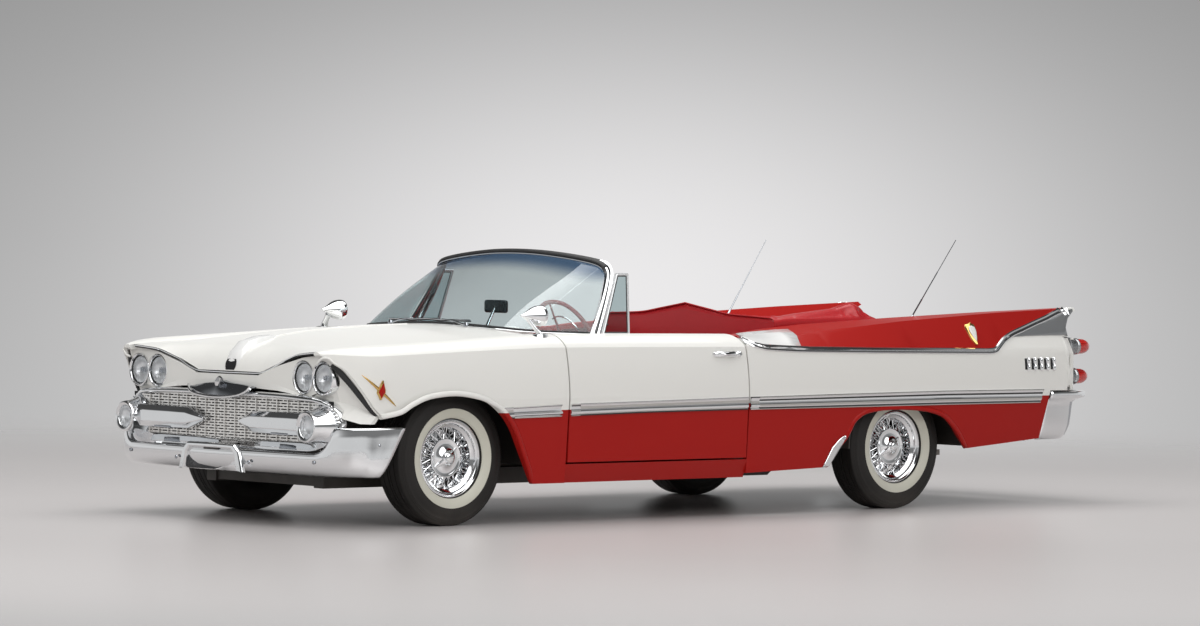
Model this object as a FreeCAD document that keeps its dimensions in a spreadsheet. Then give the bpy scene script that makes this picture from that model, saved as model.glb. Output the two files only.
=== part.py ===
"""Two-door convertible of the late 1950s, built as separate panels on a frame.

Millimetres. +X points rearward, +Y to the car's right, +Z up. The origin is the bottom centre of the
whole car's box. Lengthwise places are stations: millimetres behind the front axle, turned into X by
at_x(). Right-hand pieces are drawn on +Y, and left-hand pieces are their mirror images.
"""
import FreeCAD, Part
import math
import os

import Sketcher
from FreeCAD import Placement, Rotation, Vector

doc = FreeCAD.newDocument("classic_convertible")

# ---------------------------------------------------------------- driving dimensions

SIZES = [
    # alias, value in mm (or degrees, or a count)
    ("front_axle_x", -1932),
    ("wheelbase", 3099),
    ("front_track", 1547),
    ("rear_track", 1519),
    ("hub_height", 330),
    ("tyre_radius", 330),
    ("tyre_width", 205),
    ("tyre_flat", 150),
    ("rim_radius", 178),
    ("flange_radius", 191),
    ("rim_width", 150),
    ("hub_radius", 58),
    ("hub_bore", 17.1),
    ("spindle_radius", 17),
    ("drum_radius", 140),
    ("spoke_radius", 3.2),
    ("spoke_pairs", 12),
    ("kingpin_y", 650),
    ("kingpin_radius", 19),
    ("panel_wall", 26),
    ("door_inner_y", 790),
    ("waist_top_z", 620),
    ("waist_low_z", 548),
    ("gap", 9),
    ("door_front", 658),
    ("door_rear", 1879),
    ("door_bottom", 302),
    ("sill_bottom", 200),
    ("rail_y", 430),
    ("rail_width", 75),
    ("rail_height", 100),
    ("rail_bottom", 175),
    ("floor_z", 282),
    ("floor_wall", 8),
    ("floor_half_width", 795),
    ("trunk_half_width", 600),
    ("trunk_floor_z", 474),
    ("apron_y", 470),
    ("housing_radius", 432),
    ("seat_half_width", 700),
    ("rear_seat_half_width", 590),
    ("axle_radius", 38),
    ("pipe_radius", 24),
    ("muffler_radius", 52),
    ("tank_length", 520),
    ("tank_width", 560),
    ("tank_height", 140),
    ("tank_fillet", 30),
    ("hood_edge_y", 733),
    ("hood_wall", 18),
    ("lid_edge_y", 682),
    ("lid_wall", 22),
    ("glass_wall", 6),
    ("dash_half_width", 682),
    ("lamp_radius", 79),
    ("engine_length", 720),
    ("engine_width", 500),
    ("engine_height", 470),
    ("wheel_turn_radius", 215),
    ("wheel_rim_radius", 11),
    ("plate_bolt_spacing", 178),
    ("plate_bolt_radius", 4),
]

sheet = doc.addObject("Spreadsheet::Sheet", "sizes")
for row, (alias, value) in enumerate(SIZES, start=1):
    sheet.set(f"A{row}", alias)
    sheet.set(f"B{row}", str(value))
    sheet.setAlias(f"B{row}", alias)
doc.recompute()


def size(alias):
    """A driving dimension, read from the sheet."""
    return float(sheet.get(alias))


def at_x(station):
    """X of a place given in millimetres behind the front axle."""
    return station + size("front_axle_x")


# ---------------------------------------------------------------- shape helpers

def outline(start, *steps):
    """Closed wire. A step is an end point, or (middle, end) for an arc."""
    edges = []
    here = Vector(*start)
    for step in steps:
        if isinstance(step[0], tuple):
            end = Vector(*step[1])
            edges.append(Part.Arc(here, Vector(*step[0]), end).toShape())
        else:
            end = Vector(*step)
            edges.append(Part.LineSegment(here, end).toShape())
        here = end
    if here.distanceToPoint(Vector(*start)) > 0.001:
        edges.append(Part.LineSegment(here, Vector(*start)).toShape())
    return Part.Wire(edges)


def loft(sections, ruled=False):
    """Solid through closed sections."""
    return Part.makeLoft(sections, True, ruled)


def side_prism(points, low_y, high_y):
    """Solid with a side-view outline of (station, z) points, from low_y to high_y."""
    start, *rest = points
    steps = []
    for step in rest:
        if isinstance(step[0], tuple):
            steps.append(tuple((at_x(s), low_y, z) for s, z in step))
        else:
            steps.append((at_x(step[0]), low_y, step[1]))
    wire = outline((at_x(start[0]), low_y, start[1]), *steps)
    return Part.Face(wire).extrude(Vector(0, high_y - low_y, 0))


def box(station, y, z):
    """Box from three (low, high) pairs, the first in stations."""
    length, width, height = (high - low for low, high in (station, y, z))
    return Part.makeBox(length, width, height, Vector(at_x(station[0]), y[0], z[0]))


def tube(start, end, radius):
    """Round bar between two points given as (station, y, z)."""
    first = Vector(at_x(start[0]), start[1], start[2])
    run = Vector(at_x(end[0]), end[1], end[2]) - first
    return Part.makeCylinder(radius, run.Length, first, run)


def square_bar(start, end, width):
    """Square bar between two points."""
    run = end - start
    bar = Part.makeBox(width, width, run.Length, Vector(-width / 2, -width / 2, 0))
    bar.Placement = Placement(start, Rotation(Vector(0, 0, 1), run))
    return bar


def mirrored(shape):
    """The same shape on the car's other side."""
    return shape.mirror(Vector(0, 0, 0), Vector(0, 1, 0))


def both(shape):
    """A shape and its mirror image, as two solids that don't touch."""
    return Part.makeCompound([shape, mirrored(shape)])


def fused(*shapes):
    """One shape from shapes that touch."""
    first, *rest = shapes
    return first.fuse(rest).removeSplitter()


def largest(shape):
    """The biggest of a shape's solids, without what a cut left loose."""
    return max(shape.Solids, key=lambda solid: solid.Volume)


nodes = {}


def keep(name, shape, place=None):
    """Put a shape in the document as the sub-part of this name."""
    feature = doc.addObject("Part::Feature", name)
    feature.Label = name
    feature.Shape = shape
    if place is not None:
        feature.Placement = place
    nodes[name] = feature
    return feature


def keep_object(name, feature):
    """Take a parametric document object as the sub-part of this name."""
    feature.Label = name
    nodes[name] = feature
    return feature


def keep_pair(name, shape):
    """A right-hand piece and its mirrored left-hand twin, named with {side}."""
    keep(name.format(side="right"), shape)
    keep(name.format(side="left"), mirrored(shape))


# ---------------------------------------------------------------- parametric helpers

def origin_plane(body, role):
    """One of a body's own origin planes or axes, found by its role."""
    return next(item for item in body.Origin.OriginFeatures if item.Role == role)


def sketched_body(name, role, corners):
    """A PartDesign body with one sketch. Each corner is a pair of expressions read from the sheet."""
    body = doc.addObject("PartDesign::Body", name)
    sketch = body.newObject("Sketcher::SketchObject", name + "_outline")
    sketch.AttachmentSupport = [(origin_plane(body, role), "")]
    sketch.MapMode = "FlatFace"
    count = len(corners)
    rough = [Vector(math.cos(2 * math.pi * i / count), math.sin(2 * math.pi * i / count), 0)
             for i in range(count)]
    for index in range(count):
        line = Part.LineSegment(rough[index], rough[(index + 1) % count])
        sketch.addGeometry(line, False)
    for index in range(count):
        sketch.addConstraint(Sketcher.Constraint("Coincident", index, 2, (index + 1) % count, 1))
    for index, (across, up) in enumerate(corners):
        for kind, rule in (("DistanceX", across), ("DistanceY", up)):
            number = sketch.addConstraint(Sketcher.Constraint(kind, -1, 1, index, 1, 1.0))
            sketch.setExpression(f"Constraints[{number}]", rule)
    doc.recompute()
    return body, sketch


def padded_body(name, role, corners, length):
    """Body with its outline padded to both sides of the plane. Length is an expression."""
    body, sketch = sketched_body(name, role, corners)
    pad = body.newObject("PartDesign::Pad", name + "_pad")
    pad.Profile = sketch
    pad.SideType = "Symmetric"
    pad.setExpression("Length", length)
    doc.recompute()
    return body


def turned_body(name, corners):
    """Body with its outline in the XZ plane turned about Z."""
    body, sketch = sketched_body(name, "XZ_Plane", corners)
    turned = body.newObject("PartDesign::Revolution", name + "_turned")
    turned.Profile = sketch
    turned.ReferenceAxis = (sketch, ["V_Axis"])
    turned.Angle = 360
    doc.recompute()
    return body


def bar_between(name, start, end, radius):
    """A Part::Cylinder from one point to another, its radius an expression."""
    feature = doc.addObject("Part::Cylinder", name)
    first = Vector(at_x(start[0]), start[1], start[2])
    run = Vector(at_x(end[0]), end[1], end[2]) - first
    feature.setExpression("Radius", radius)
    feature.Height = run.Length
    feature.Placement = Placement(first, Rotation(Vector(0, 0, 1), run))
    return feature


def bound_box(name, place, **bindings):
    """A Part::Box whose sizes are bound to the sheet."""
    feature = doc.addObject("Part::Box", name)
    for prop, expression in bindings.items():
        feature.setExpression(prop, expression)
    feature.Placement = Placement(place, Rotation())
    return feature


def joined(name, members):
    """Part::MultiFuse of document objects."""
    feature = doc.addObject("Part::MultiFuse", name)
    feature.Shapes = members
    return feature


# ---------------------------------------------------------------- body side

# The body side from nose to tail. Columns: station, top edge y and z, crown y and z,
# shoulder y and z, waist y.
SIDE = [
    (-768, 742, 846, 766, 848, 790, 838, 794),
    (-690, 742, 854, 812, 862, 866, 836, 874),
    (-590, 742, 860, 838, 873, 918, 832, 930),
    (-397, 742, 868, 850, 885, 943, 836, 966),
    (-52, 742, 884, 850, 902, 948, 850, 979),
    (267, 742, 905, 850, 919, 951, 862, 985),
    (660, 742, 921, 850, 932, 953, 870, 988),
    (1250, 745, 921, 850, 932, 953, 870, 988),
    (1890, 748, 918, 850, 929, 953, 868, 987),
]


def side_at(station):
    """The side's row at any station, between the table's rows."""
    for low, high in zip(SIDE, SIDE[1:]):
        if station <= high[0]:
            break
    share = (station - low[0]) / (high[0] - low[0])
    return [a + (b - a) * share for a, b in zip(low, high)]


def side_section(station, bottom_y, bottom_z, inner_y=None):
    """Section of the body side. With inner_y it is as thick as a whole door."""
    _, top_y, top_z, crown_y, crown_z, shoulder_y, shoulder_z, waist_y = side_at(station)
    wall = size("panel_wall")
    high, low = size("waist_top_z"), size("waist_low_z")
    x = at_x(station)
    outer = [
        ((x, crown_y, crown_z), (x, shoulder_y, shoulder_z)),
        ((x, (shoulder_y + waist_y) / 2 + 7, (shoulder_z + high) / 2), (x, waist_y, high)),
        (x, waist_y - 5, low),
        (x, bottom_y, bottom_z),
    ]
    if inner_y is None:
        inner = [
            (x, bottom_y - wall, bottom_z),
            (x, waist_y - 5 - wall, low),
            (x, waist_y - wall, high),
            (x, shoulder_y - wall, shoulder_z - wall / 3),
            ((x, crown_y - wall / 3, crown_z - wall), (x, top_y, top_z - wall)),
        ]
    else:
        inner = [(x, inner_y, bottom_z), (x, inner_y, top_z - 90), (x, top_y, top_z - 60)]
    return outline((x, top_y, top_z), *outer, *inner)


FRONT_ARCH = [
    (-1000, 100), (-1000, 490), (-600, 520), (-430, 552), ((-290, 618), (-81, 642)),
    ((160, 592), (300, 455)), (446, 190), (446, 100),
]
REAR_ARCH = [
    (2478, 100), (2478, 235), (2600, 382), ((2680, 492), (2884, 534)), (3150, 530),
    ((3340, 492), (3452, 400)), (3540, 312), (3540, 100),
]
# What the visor leaves open ahead of the fender, in side view.
VISOR_CUT = [
    (-1200, 400), (-1200, 900), (-800, 900), (-772, 836), (-721, 797), (-677, 759),
    (-616, 672), (-553, 585), (-512, 546), (-512, 400),
]


def make_front_fender():
    stations = (-768, -690, -590, -397, -52, 267, size("door_front") - size("gap"))
    sections = [side_section(s, side_at(s)[7] - 28, size("sill_bottom")) for s in stations]
    fender = loft(sections)
    fender = fender.cut(side_prism(FRONT_ARCH, 700, 1100))
    fender = fender.cut(side_prism(VISOR_CUT, 600, 1100))
    keep_pair("front_{side}_fender", fender)


def make_door():
    front, rear = size("door_front"), size("door_rear")
    stations = (front, 1000, 1450, rear)
    inner_y = size("door_inner_y")
    sections = [side_section(s, 972, size("door_bottom"), inner_y) for s in stations]
    door = loft(sections)
    # The rear shut face slants, so that the inner edge clears the pillar as the door swings.
    shut = outline(
        (at_x(rear), 940, 0), (at_x(rear + 60), 940, 0), (at_x(rear + 60), 700, 0),
        (at_x(rear - 44), 700, 0),
    )
    door = door.cut(Part.Face(shut).extrude(Vector(0, 0, 1500)))
    # Armrest moulded on the inner face.
    arm = box((1150, 1560), (inner_y - 48, inner_y + 5), (610, 650))
    door = fused(door, arm)
    keep_pair("{side}_door", door)


def make_vent_window():
    """Chrome frame with its pane, standing on the door's front top edge."""
    foot = 924
    outer = side_prism([(1122, foot), (1312, foot), (1312, 1236), (1262, 1236)], 0, 16)
    pane = side_prism([(1146, foot + 14), (1300, foot + 14), (1300, 1222), (1270, 1222)], 0, 16)
    glass = side_prism([(1146, foot + 14), (1300, foot + 14), (1300, 1222), (1270, 1222)], 5, 11)
    window = outer.cut(pane).fuse(glass).removeSplitter()
    lean = Rotation(Vector(1, 0, 0), 13)
    window.Placement = Placement(Vector(0, 0, 0), lean, Vector(0, 0, foot))
    window.translate(Vector(0, 752, 0))
    keep_pair("{side}_vent_window", window.cut(nodes["right_door"].Shape))


# The quarter panel behind the door. Columns: station, deck edge y and z, ridge y and z, fin crease y
# and z, moulding y and z, waist y, skirt y and z.
QUARTER = [
    (1888, 748, 917, 770, 920, 880, 922, 953, 876, 987, 962, 222),
    (2160, 725, 948, 742, 952, 866, 906, 962, 856, 986, 962, 230),
    (2500, 700, 972, 718, 978, 862, 944, 965, 852, 985, 960, 240),
    (3100, 690, 972, 748, 1012, 858, 996, 966, 846, 983, 957, 285),
    (3800, 690, 958, 792, 1046, 853, 1040, 962, 842, 978, 952, 338),
    (4500, 690, 935, 826, 1074, 846, 1072, 948, 842, 962, 940, 392),
]

# The tail in side view: fin tip, hollow below it, two rounded lobes for the lamps.
TAIL_CUT = [
    (4600, 1200), (4600, 100), (4104, 100), (4104, 345), (4171, 622), (4400, 622), (4446, 648),
    ((4462, 692), (4446, 742)), (4425, 772), (4450, 804), ((4468, 856), (4440, 908)), (4345, 918),
    ((4378, 985), (4491, 1056)), (4470, 1090), (4470, 1200),
]


def quarter_section(row):
    """Section of the quarter panel and its fin."""
    (station, deck_y, deck_z, ridge_y, ridge_z, crease_y, crease_z,
     moulding_y, moulding_z, waist_y, skirt_y, skirt_z) = row
    wall = size("panel_wall")
    high, low = size("waist_top_z"), size("waist_low_z")
    x = at_x(station)
    return outline(
        (x, deck_y, deck_z), (x, ridge_y, ridge_z), (x, crease_y, crease_z), (x, moulding_y, moulding_z),
        ((x, (moulding_y + waist_y) / 2 + 6, (moulding_z + high) / 2), (x, waist_y, high)),
        (x, waist_y - 5, low), (x, skirt_y, skirt_z), (x, skirt_y - wall, skirt_z),
        (x, waist_y - 5 - wall, low), (x, waist_y - wall, high), (x, moulding_y - wall, moulding_z - 20),
        (x, crease_y - wall, crease_z - wall - 30), (x, deck_y, deck_z - wall),
    )


def make_quarter():
    quarter = loft([quarter_section(row) for row in QUARTER], ruled=True)
    quarter = quarter.cut(side_prism(REAR_ARCH, 600, 1100))
    quarter = quarter.cut(side_prism(TAIL_CUT, 600, 1100))
    keep_pair("{side}_quarter", quarter)


def make_rockers():
    x0, x1 = size("door_front") - size("gap"), QUARTER[0][0]
    bottom, top = size("sill_bottom"), size("door_bottom") - size("gap")
    wire = outline(
        (at_x(x0), 800, bottom), (at_x(x0), 940, bottom), (at_x(x0), 968, top), (at_x(x0), 800, top),
    )
    keep("rockers", both(Part.Face(wire).extrude(Vector(x1 - x0, 0, 0))))


# ---------------------------------------------------------------- hood, nose and grille

# Hood sections across the car. Columns: station, centre z, edge z, edge half width.
HOOD = [
    (-560, 872, 861, 1.0),
    (-338, 917, 870, 1.0),
    (37, 948, 890, 1.0),
    (300, 961, 907, 1.0),
    (492, 966, 917, 1.0),
]


def make_hood():
    edge_y, wall = size("hood_edge_y"), size("hood_wall")
    sections = []
    for station, centre_z, edge_z, share in HOOD:
        x, y = at_x(station), edge_y * share
        sections.append(outline(
            (x, -y, edge_z), ((x, 0, centre_z), (x, y, edge_z)), (x, y, edge_z - wall),
            ((x, 0, centre_z - wall), (x, -y, edge_z - wall)),
        ))
    top = loft(sections)
    # The nose rolls down from the first section to a lip that rises over each pair of lamps.
    nose = []
    for y, lip_x, lip_z, crown_z in (
        (0, -704, 737, 872), (250, -704, 737, 871), (400, -702, 788, 869), (560, -718, 832, 866),
        (edge_y, -742, 848, 861),
    ):
        back = at_x(HOOD[0][0])
        middle = (lip_x * 0.66 + HOOD[0][0] * 0.34, y, lip_z + (crown_z - lip_z) * 0.62)
        nose.append(outline(
            (back, y, crown_z), ((at_x(middle[0]), y, middle[2]), (at_x(lip_x), y, lip_z)),
            (at_x(lip_x + wall), y, lip_z - 2),
            ((at_x(middle[0] + wall), y, middle[2] - wall * 0.8), (back, y, crown_z - wall)),
        ))
    right = Part.makeLoft(nose, True, True)
    hood = fused(top, right, mirrored(right))
    keep("hood", hood)


# Face of the panel that holds the lamps, and of the cheek below it. Columns: y, then the station and z
# of the top edge, of the crease under the lamps and of the bottom edge.
LAMP_PANEL = [
    (0, -722, 722, -720, 690, -716, 662),
    (250, -722, 722, -720, 690, -716, 658),
    (400, -716, 772, -714, 680, -716, 652),
    (585, -706, 818, -704, 636, -722, 634),
    (735, -708, 834, -690, 622, -706, 606),
    (800, -724, 822, -652, 610, -700, 576),
    (860, -668, 764, -592, 590, -676, 530),
    (905, -598, 670, -546, 560, -610, 508),
    (922, -545, 580, -524, 546, -560, 506),
]


def make_headlamp_panel():
    """White panel the lamps sit in, with the cheek that turns below it to the fender's side."""
    wall = 26
    sections = []
    for y, top_x, top_z, crease_x, crease_z, low_x, low_z in LAMP_PANEL:
        sections.append(outline(
            (at_x(top_x), y, top_z), (at_x(crease_x), y, crease_z), (at_x(low_x), y, low_z),
            (at_x(low_x + wall), y, low_z), (at_x(crease_x + wall), y, crease_z + 2),
            (at_x(top_x + wall), y, top_z - 4),
        ))
    half = Part.makeLoft(sections, True, True)
    panel = fused(half, mirrored(half))
    panel = panel.cut([nodes["front_right_fender"].Shape, nodes["front_left_fender"].Shape])
    panel = panel.cut([nodes["hood"].Shape, surround_body(SURROUND_OUTER)])
    for y in LAMP_Y:
        for side in (-1, 1):
            hole = Part.makeCylinder(
                size("lamp_radius") - 6, 200, Vector(at_x(-800), side * y, LAMP_Z), Vector(1, 0, 0))
            panel = panel.cut(hole)
    keep("headlamp_panel", largest(panel))


LAMP_Y = (585, 738)
LAMP_Z = 722


def make_headlamps():
    """Four sealed lamps: bezel ring, bowl behind, domed lens."""
    radius = size("lamp_radius") - 9
    lens = Part.makeSphere(150)
    lamp = Part.makeCylinder(radius, 70)
    dome = lens.common(Part.makeCylinder(radius, 200, Vector(0, 0, 0)))
    dome.translate(Vector(0, 0, 70 - math.sqrt(150 ** 2 - radius ** 2)))
    lamp = lamp.fuse(dome).removeSplitter()
    lamp.rotate(Vector(0, 0, 0), Vector(0, 1, 0), -90)
    lamps = []
    for y in LAMP_Y:
        for side in (-1, 1):
            one = lamp.copy()
            one.translate(Vector(at_x(-645), side * y, LAMP_Z))
            lamps.append(one)
    keep("headlamps", Part.makeCompound(lamps))


# Grille surround seen from the front, as half outlines of (y, z) from its foot to its crown. The second
# point is the middle of the arc round each end.
SURROUND_OUTER = ((650, 372), (852, 500), (640, 634), (420, 641), (200, 645), (60, 646))
SURROUND_INNER = ((640, 408), (820, 504), (630, 606), (420, 614), (200, 616), (60, 616))
# The loop's plan, as (station, y) of its face from the middle outward.
SURROUND_PLAN = ((-752, 0), (-746, 560), (-712, 780), (-680, 900))
SURROUND_DEPTH = 44


def front_prism(half, low_station, high_station):
    """Solid between two stations, inside a half outline of (y, z) and its mirror image."""
    x = at_x(low_station)
    foot, turn, shoulder, *top = half
    right = [(x, y, z) for y, z in top]
    left = [(x, -y, z) for y, z in reversed(top)]
    wire = outline(
        (x, -foot[0], foot[1]), (x, *foot), ((x, *turn), (x, *shoulder)), *right, *left,
        (x, -shoulder[0], shoulder[1]), ((x, -turn[0], turn[1]), (x, -foot[0], foot[1])),
    )
    return Part.Face(wire).extrude(Vector(high_station - low_station, 0, 0))


def surround_body(half):
    """Solid inside a half outline, between the curved plan of the loop's face and of its back."""
    low_z, high_z = 360, 660
    face = [(at_x(s), y, low_z) for s, y in SURROUND_PLAN]
    back = [(x + SURROUND_DEPTH, y, z) for x, y, z in face]
    left_face = [(x, -y, z) for x, y, z in reversed(face[1:])]
    left_back = [(x, -y, z) for x, y, z in back[1:]]
    plan = outline(*face, *reversed(back), *left_back, *left_face)
    slab = Part.Face(plan).extrude(Vector(0, 0, high_z - low_z))
    return slab.common(front_prism(half, -800, -600))


def make_grille():
    """Egg-crate grille: upright and level blades crossing in a frame folded at the centre."""
    low_z, high_z, half = 400, 618, 820
    depth, blade = 22, 4
    fold = 26
    bars = []

    def front_x(y):
        return at_x(-726) + fold * abs(y) / half

    uprights = 18
    for index in range(-uprights, uprights + 1):
        y = half * index / uprights
        bars.append(Part.makeBox(depth, blade, high_z - low_z, Vector(front_x(y), y - blade / 2, low_z)))
    levels = 8
    for index in range(levels + 1):
        z = low_z + (high_z - low_z - blade) * index / levels
        for side in (-1, 1):
            strip = outline(
                (front_x(0), 0, z), (front_x(half), side * (half + blade / 2), z),
                (front_x(half) + depth, side * (half + blade / 2), z), (front_x(0) + depth, 0, z),
            )
            bars.append(Part.Face(strip).extrude(Vector(0, 0, blade)))
    first, *rest = bars
    opening = front_prism(SURROUND_INNER, -800, -600)
    grille = first.fuse(rest).common(opening).cut(nodes["grille_surround"].Shape)
    keep("grille", largest(grille))


# A torpedo bar along the car's width. Columns: y, radius.
TORPEDO = ((700, 42), (300, 38), (262, 36), (140, 5))
# A parking-lamp pod from its root forward. Columns: station, radius.
POD = ((-672, 62), (-690, 76), (-716, 76), (-722, 66), (-792, 60), (-798, 54))
POD_Y, POD_Z = 731, 489


def make_grille_surround():
    """Chrome loop round the grille, two bars pointing inward, the lamp pods and a central wing."""
    ring = surround_body(SURROUND_OUTER).cut(front_prism(SURROUND_INNER, -800, -600))
    pieces = [ring]
    for side in (-1, 1):
        points = [(at_x(s), side * POD_Y, POD_Z + r) for s, r in POD]
        first, last = points[0], points[-1]
        half = outline(*points, (last[0], side * POD_Y, POD_Z), (first[0], side * POD_Y, POD_Z))
        pieces.append(Part.Face(half).revolve(Vector(0, side * POD_Y, POD_Z), Vector(1, 0, 0), 360))
        bar = []
        for y, radius in TORPEDO:
            ring_points = [
                (at_x(-745) + radius * math.cos(math.radians(turn)), side * y,
                 498 + radius * math.sin(math.radians(turn)))
                for turn in range(30, 390, 60)
            ]
            bar.append(outline(*ring_points))
        pieces.append(Part.makeLoft(bar, True, True))
        # The pod's root reaches out to the loop's end.
        pieces.append(box((-700, -672), sorted((side * 780, side * 828)), (476, 500)))
    wing = outline(
        (at_x(-758), -218, 652), (at_x(-758), -40, 664), (at_x(-758), 0, 708), (at_x(-758), 40, 664),
        (at_x(-758), 218, 652), (at_x(-758), 186, 622), (at_x(-758), 70, 600), (at_x(-758), -70, 600),
        (at_x(-758), -186, 622),
    )
    pieces.append(Part.Face(wing).extrude(Vector(30, 0, 0)))
    keep("grille_surround", fused(*pieces))


def bumper_plan(rows, inset, wall, z):
    """Closed plan of a bumper moved inward by inset, wall thick. An arc runs through every second row."""
    def walk(side, shift):
        return [(at_x(s + dx * shift), side * (y + dy * shift), z) for s, y, dx, dy in rows]

    def arcs(points):
        end, turn, corner, face, bow, centre = points
        return [turn, (corner, face), (bow, centre)]

    def arcs_back(points):
        end, turn, corner, face, bow, centre = points
        return [(bow, face), (corner, turn), end]

    right, left = walk(1, inset), walk(-1, inset)
    right_in, left_in = walk(1, inset + wall), walk(-1, inset + wall)
    return outline(
        right[0], *arcs(right), left[-1], *arcs_back(left), left_in[0], *arcs(left_in), right_in[-1],
        *arcs_back(right_in),
    )


def bumper_blade(rows, levels, wall):
    """Bumper lofted through its plan at each level, as (z, inset)."""
    return Part.makeLoft([bumper_plan(rows, inset, wall, z) for z, inset in levels], True, True)


# Half plan of the front bumper. Columns: station, y, and how far a point moves along each when the
# plan is inset by one.
FRONT_BUMPER = [
    (-372, 964, 0, -0.4), (-560, 952, 0.1, -0.4), (-704, 872, 0.7, -0.7), (-757, 738, 1, -0.3),
    (-792, 420, 1, 0), (-812, 130, 1, 0),
]
FRONT_LEVELS = [(250, 64), (270, 30), (300, 8), (345, 0), (470, 3), (487, 14)]
# The front bumper's top edge steps down across the grille, as (y, z) of the right half.
FRONT_NOTCH = [(742, 362), (800, 396), (838, 470), (838, 600)]
REAR_BUMPER = [
    (4120, 976, 0, -0.3), (4400, 966, -0.2, -0.4), (4548, 892, -0.7, -0.7), (4613, 760, -1, -0.3),
    (4668, 420, -1, 0), (4692, 130, -1, 0),
]
REAR_LEVELS = [(352, 190), (372, 150), (430, 108), (556, 84), (582, 8), (600, 0), (614, 6)]


def plate_bolts(station, z):
    """The two holes a licence plate is bolted to."""
    spacing, radius = size("plate_bolt_spacing"), size("plate_bolt_radius")
    return [
        Part.makeCylinder(radius, 200, Vector(at_x(station), side * spacing / 2, z), Vector(1, 0, 0))
        for side in (-1, 1)
    ]


def make_front_bumper():
    """Chrome blade, high at the sides and low across the grille, with a bare plate recess."""
    loop = nodes["grille_surround"].Shape
    blade = bumper_blade(FRONT_BUMPER, FRONT_LEVELS, 30)
    right = [(at_x(-900), y, z) for y, z in FRONT_NOTCH]
    left = [(x, -y, z) for x, y, z in reversed(right)]
    notch = Part.Face(outline(*right, *left)).extrude(Vector(260, 0, 0))
    ends = side_prism([(-340, 520), (-340, 200), (-540, 200), (-516, 250), (-374, 488), (-374, 520)], -1100, 1100)
    hood_box = box((-828, -786), (-205, 205), (262, 388))
    recess = box((-840, -800), (-168, 168), (276, 372))
    blade = fused(blade.cut([notch, ends]), hood_box).cut([recess] + plate_bolts(-900, 340))
    blade = largest(blade.cut(loop))
    irons = [box((-788, -480), (side * 430 - 20, side * 430 + 20), (270, 330)) for side in (-1, 1)]
    keep("front_bumper", fused(blade, *irons))


# ---------------------------------------------------------------- windshield, dashboard, seats

def band(centre, corner, wall):
    """Closed thin arc band through a centre point and two corners, given as (station, y, z)."""
    middle = Vector(at_x(centre[0]), 0, centre[2])
    right = Vector(at_x(corner[0]), corner[1], corner[2])
    left = Vector(at_x(corner[0]), -corner[1], corner[2])
    step = Vector(right.x - middle.x, 0, right.z - middle.z)
    step.normalize()
    step = step * wall
    point = [tuple(v) for v in (left, middle, right, right + step, middle + step, left + step)]
    return outline(point[0], (point[1], point[2]), point[3], (point[4], point[5]))


GLASS_FOOT = ((590, 0, 972), (985, 716, 938))
GLASS_HEAD = ((1150, 0, 1326), (1222, 628, 1268))


def make_windshield():
    wall = size("glass_wall")
    keep("windshield_glass", loft([band(*GLASS_FOOT, wall), band(*GLASS_HEAD, wall)], ruled=True))
    # Header: a flat bow over the top edge of the glass, as sections across the car.
    centre, corner = GLASS_HEAD
    sections = []
    for share in (-1, -0.6, 0, 0.6, 1):
        y = share * (corner[1] + 24)
        x = at_x(centre[0] + (corner[0] - centre[0]) * share ** 2)
        z = centre[2] + (corner[2] - centre[2]) * share ** 2
        sections.append(outline(
            (x - 14, y, z + 4), (x + 2, y, z + 22), (x + 62, y, z + 20), (x + 66, y, z + 6),
        ))
    header = loft(sections)
    pillar = loft([
        outline((at_x(1016), 706, 938), (at_x(1062), 706, 938), (at_x(1062), 740, 938),
                (at_x(1016), 740, 938)),
        outline((at_x(1232), 628, 1274), (at_x(1266), 628, 1274), (at_x(1266), 652, 1274),
                (at_x(1232), 652, 1274)),
    ], ruled=True)
    keep("windshield_frame", fused(header, pillar, mirrored(pillar)))


def make_cowl():
    """Panel between the hood and the glass, with the firewall's top edge under it."""
    rows = ((502, 958, 912, 733), (570, 962, 918, 736), (640, 958, 920, 738))
    sections = []
    for station, centre_z, edge_z, y in rows:
        x = at_x(station)
        sections.append(outline(
            (x, -y, edge_z), ((x, 0, centre_z), (x, y, edge_z)), (x, y, edge_z - 20),
            ((x, 0, centre_z - 20), (x, -y, edge_z - 20)),
        ))
    keep("cowl", loft(sections))


def make_dashboard():
    profile = [
        (650, 780), (650, 900), ((760, 922), (842, 872)), ((862, 835), (842, 780)), (790, 710), (720, 710),
    ]
    half = size("dash_half_width")
    dash = side_prism(profile, -half, half)
    column = tube((800, -380, 730), (1128, -380, 889), 24)
    mirror = tube((760, 0, 880), (1010, 0, 1030), 6)
    head = box((1004, 1022), (-110, 110), (1020, 1076))
    keep("dashboard", fused(dash, column, mirror, head))


def make_steering_wheel():
    """Rim, hub and three spokes about the column's axis."""
    around, thick = size("wheel_turn_radius"), size("wheel_rim_radius")
    section = [
        (around + thick * math.cos(math.radians(turn)), 0, thick * math.sin(math.radians(turn)))
        for turn in range(0, 360, 45)
    ]
    ring = Part.Face(outline(*section)).revolve(Vector(0, 0, 0), Vector(0, 0, 1), 360)
    hub = Part.makeCylinder(34, 40, Vector(0, 0, -32))
    arms = []
    for angle in (0, 90, 270):
        arm = Part.makeBox(size("wheel_turn_radius") - 20, 26, 9, Vector(20, -13, -12))
        arm.rotate(Vector(0, 0, 0), Vector(0, 0, 1), angle)
        arms.append(arm)
    wheel = fused(ring, hub, *arms)
    tilt = math.degrees(math.atan2(328, 159))
    turn = Rotation(Vector(0, 1, 0), tilt)
    along = turn.multVec(Vector(0, 0, 1))
    centre = Vector(at_x(1128), -380, 889) + along * 34
    keep("steering_wheel", wheel, Placement(centre, turn))


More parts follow.
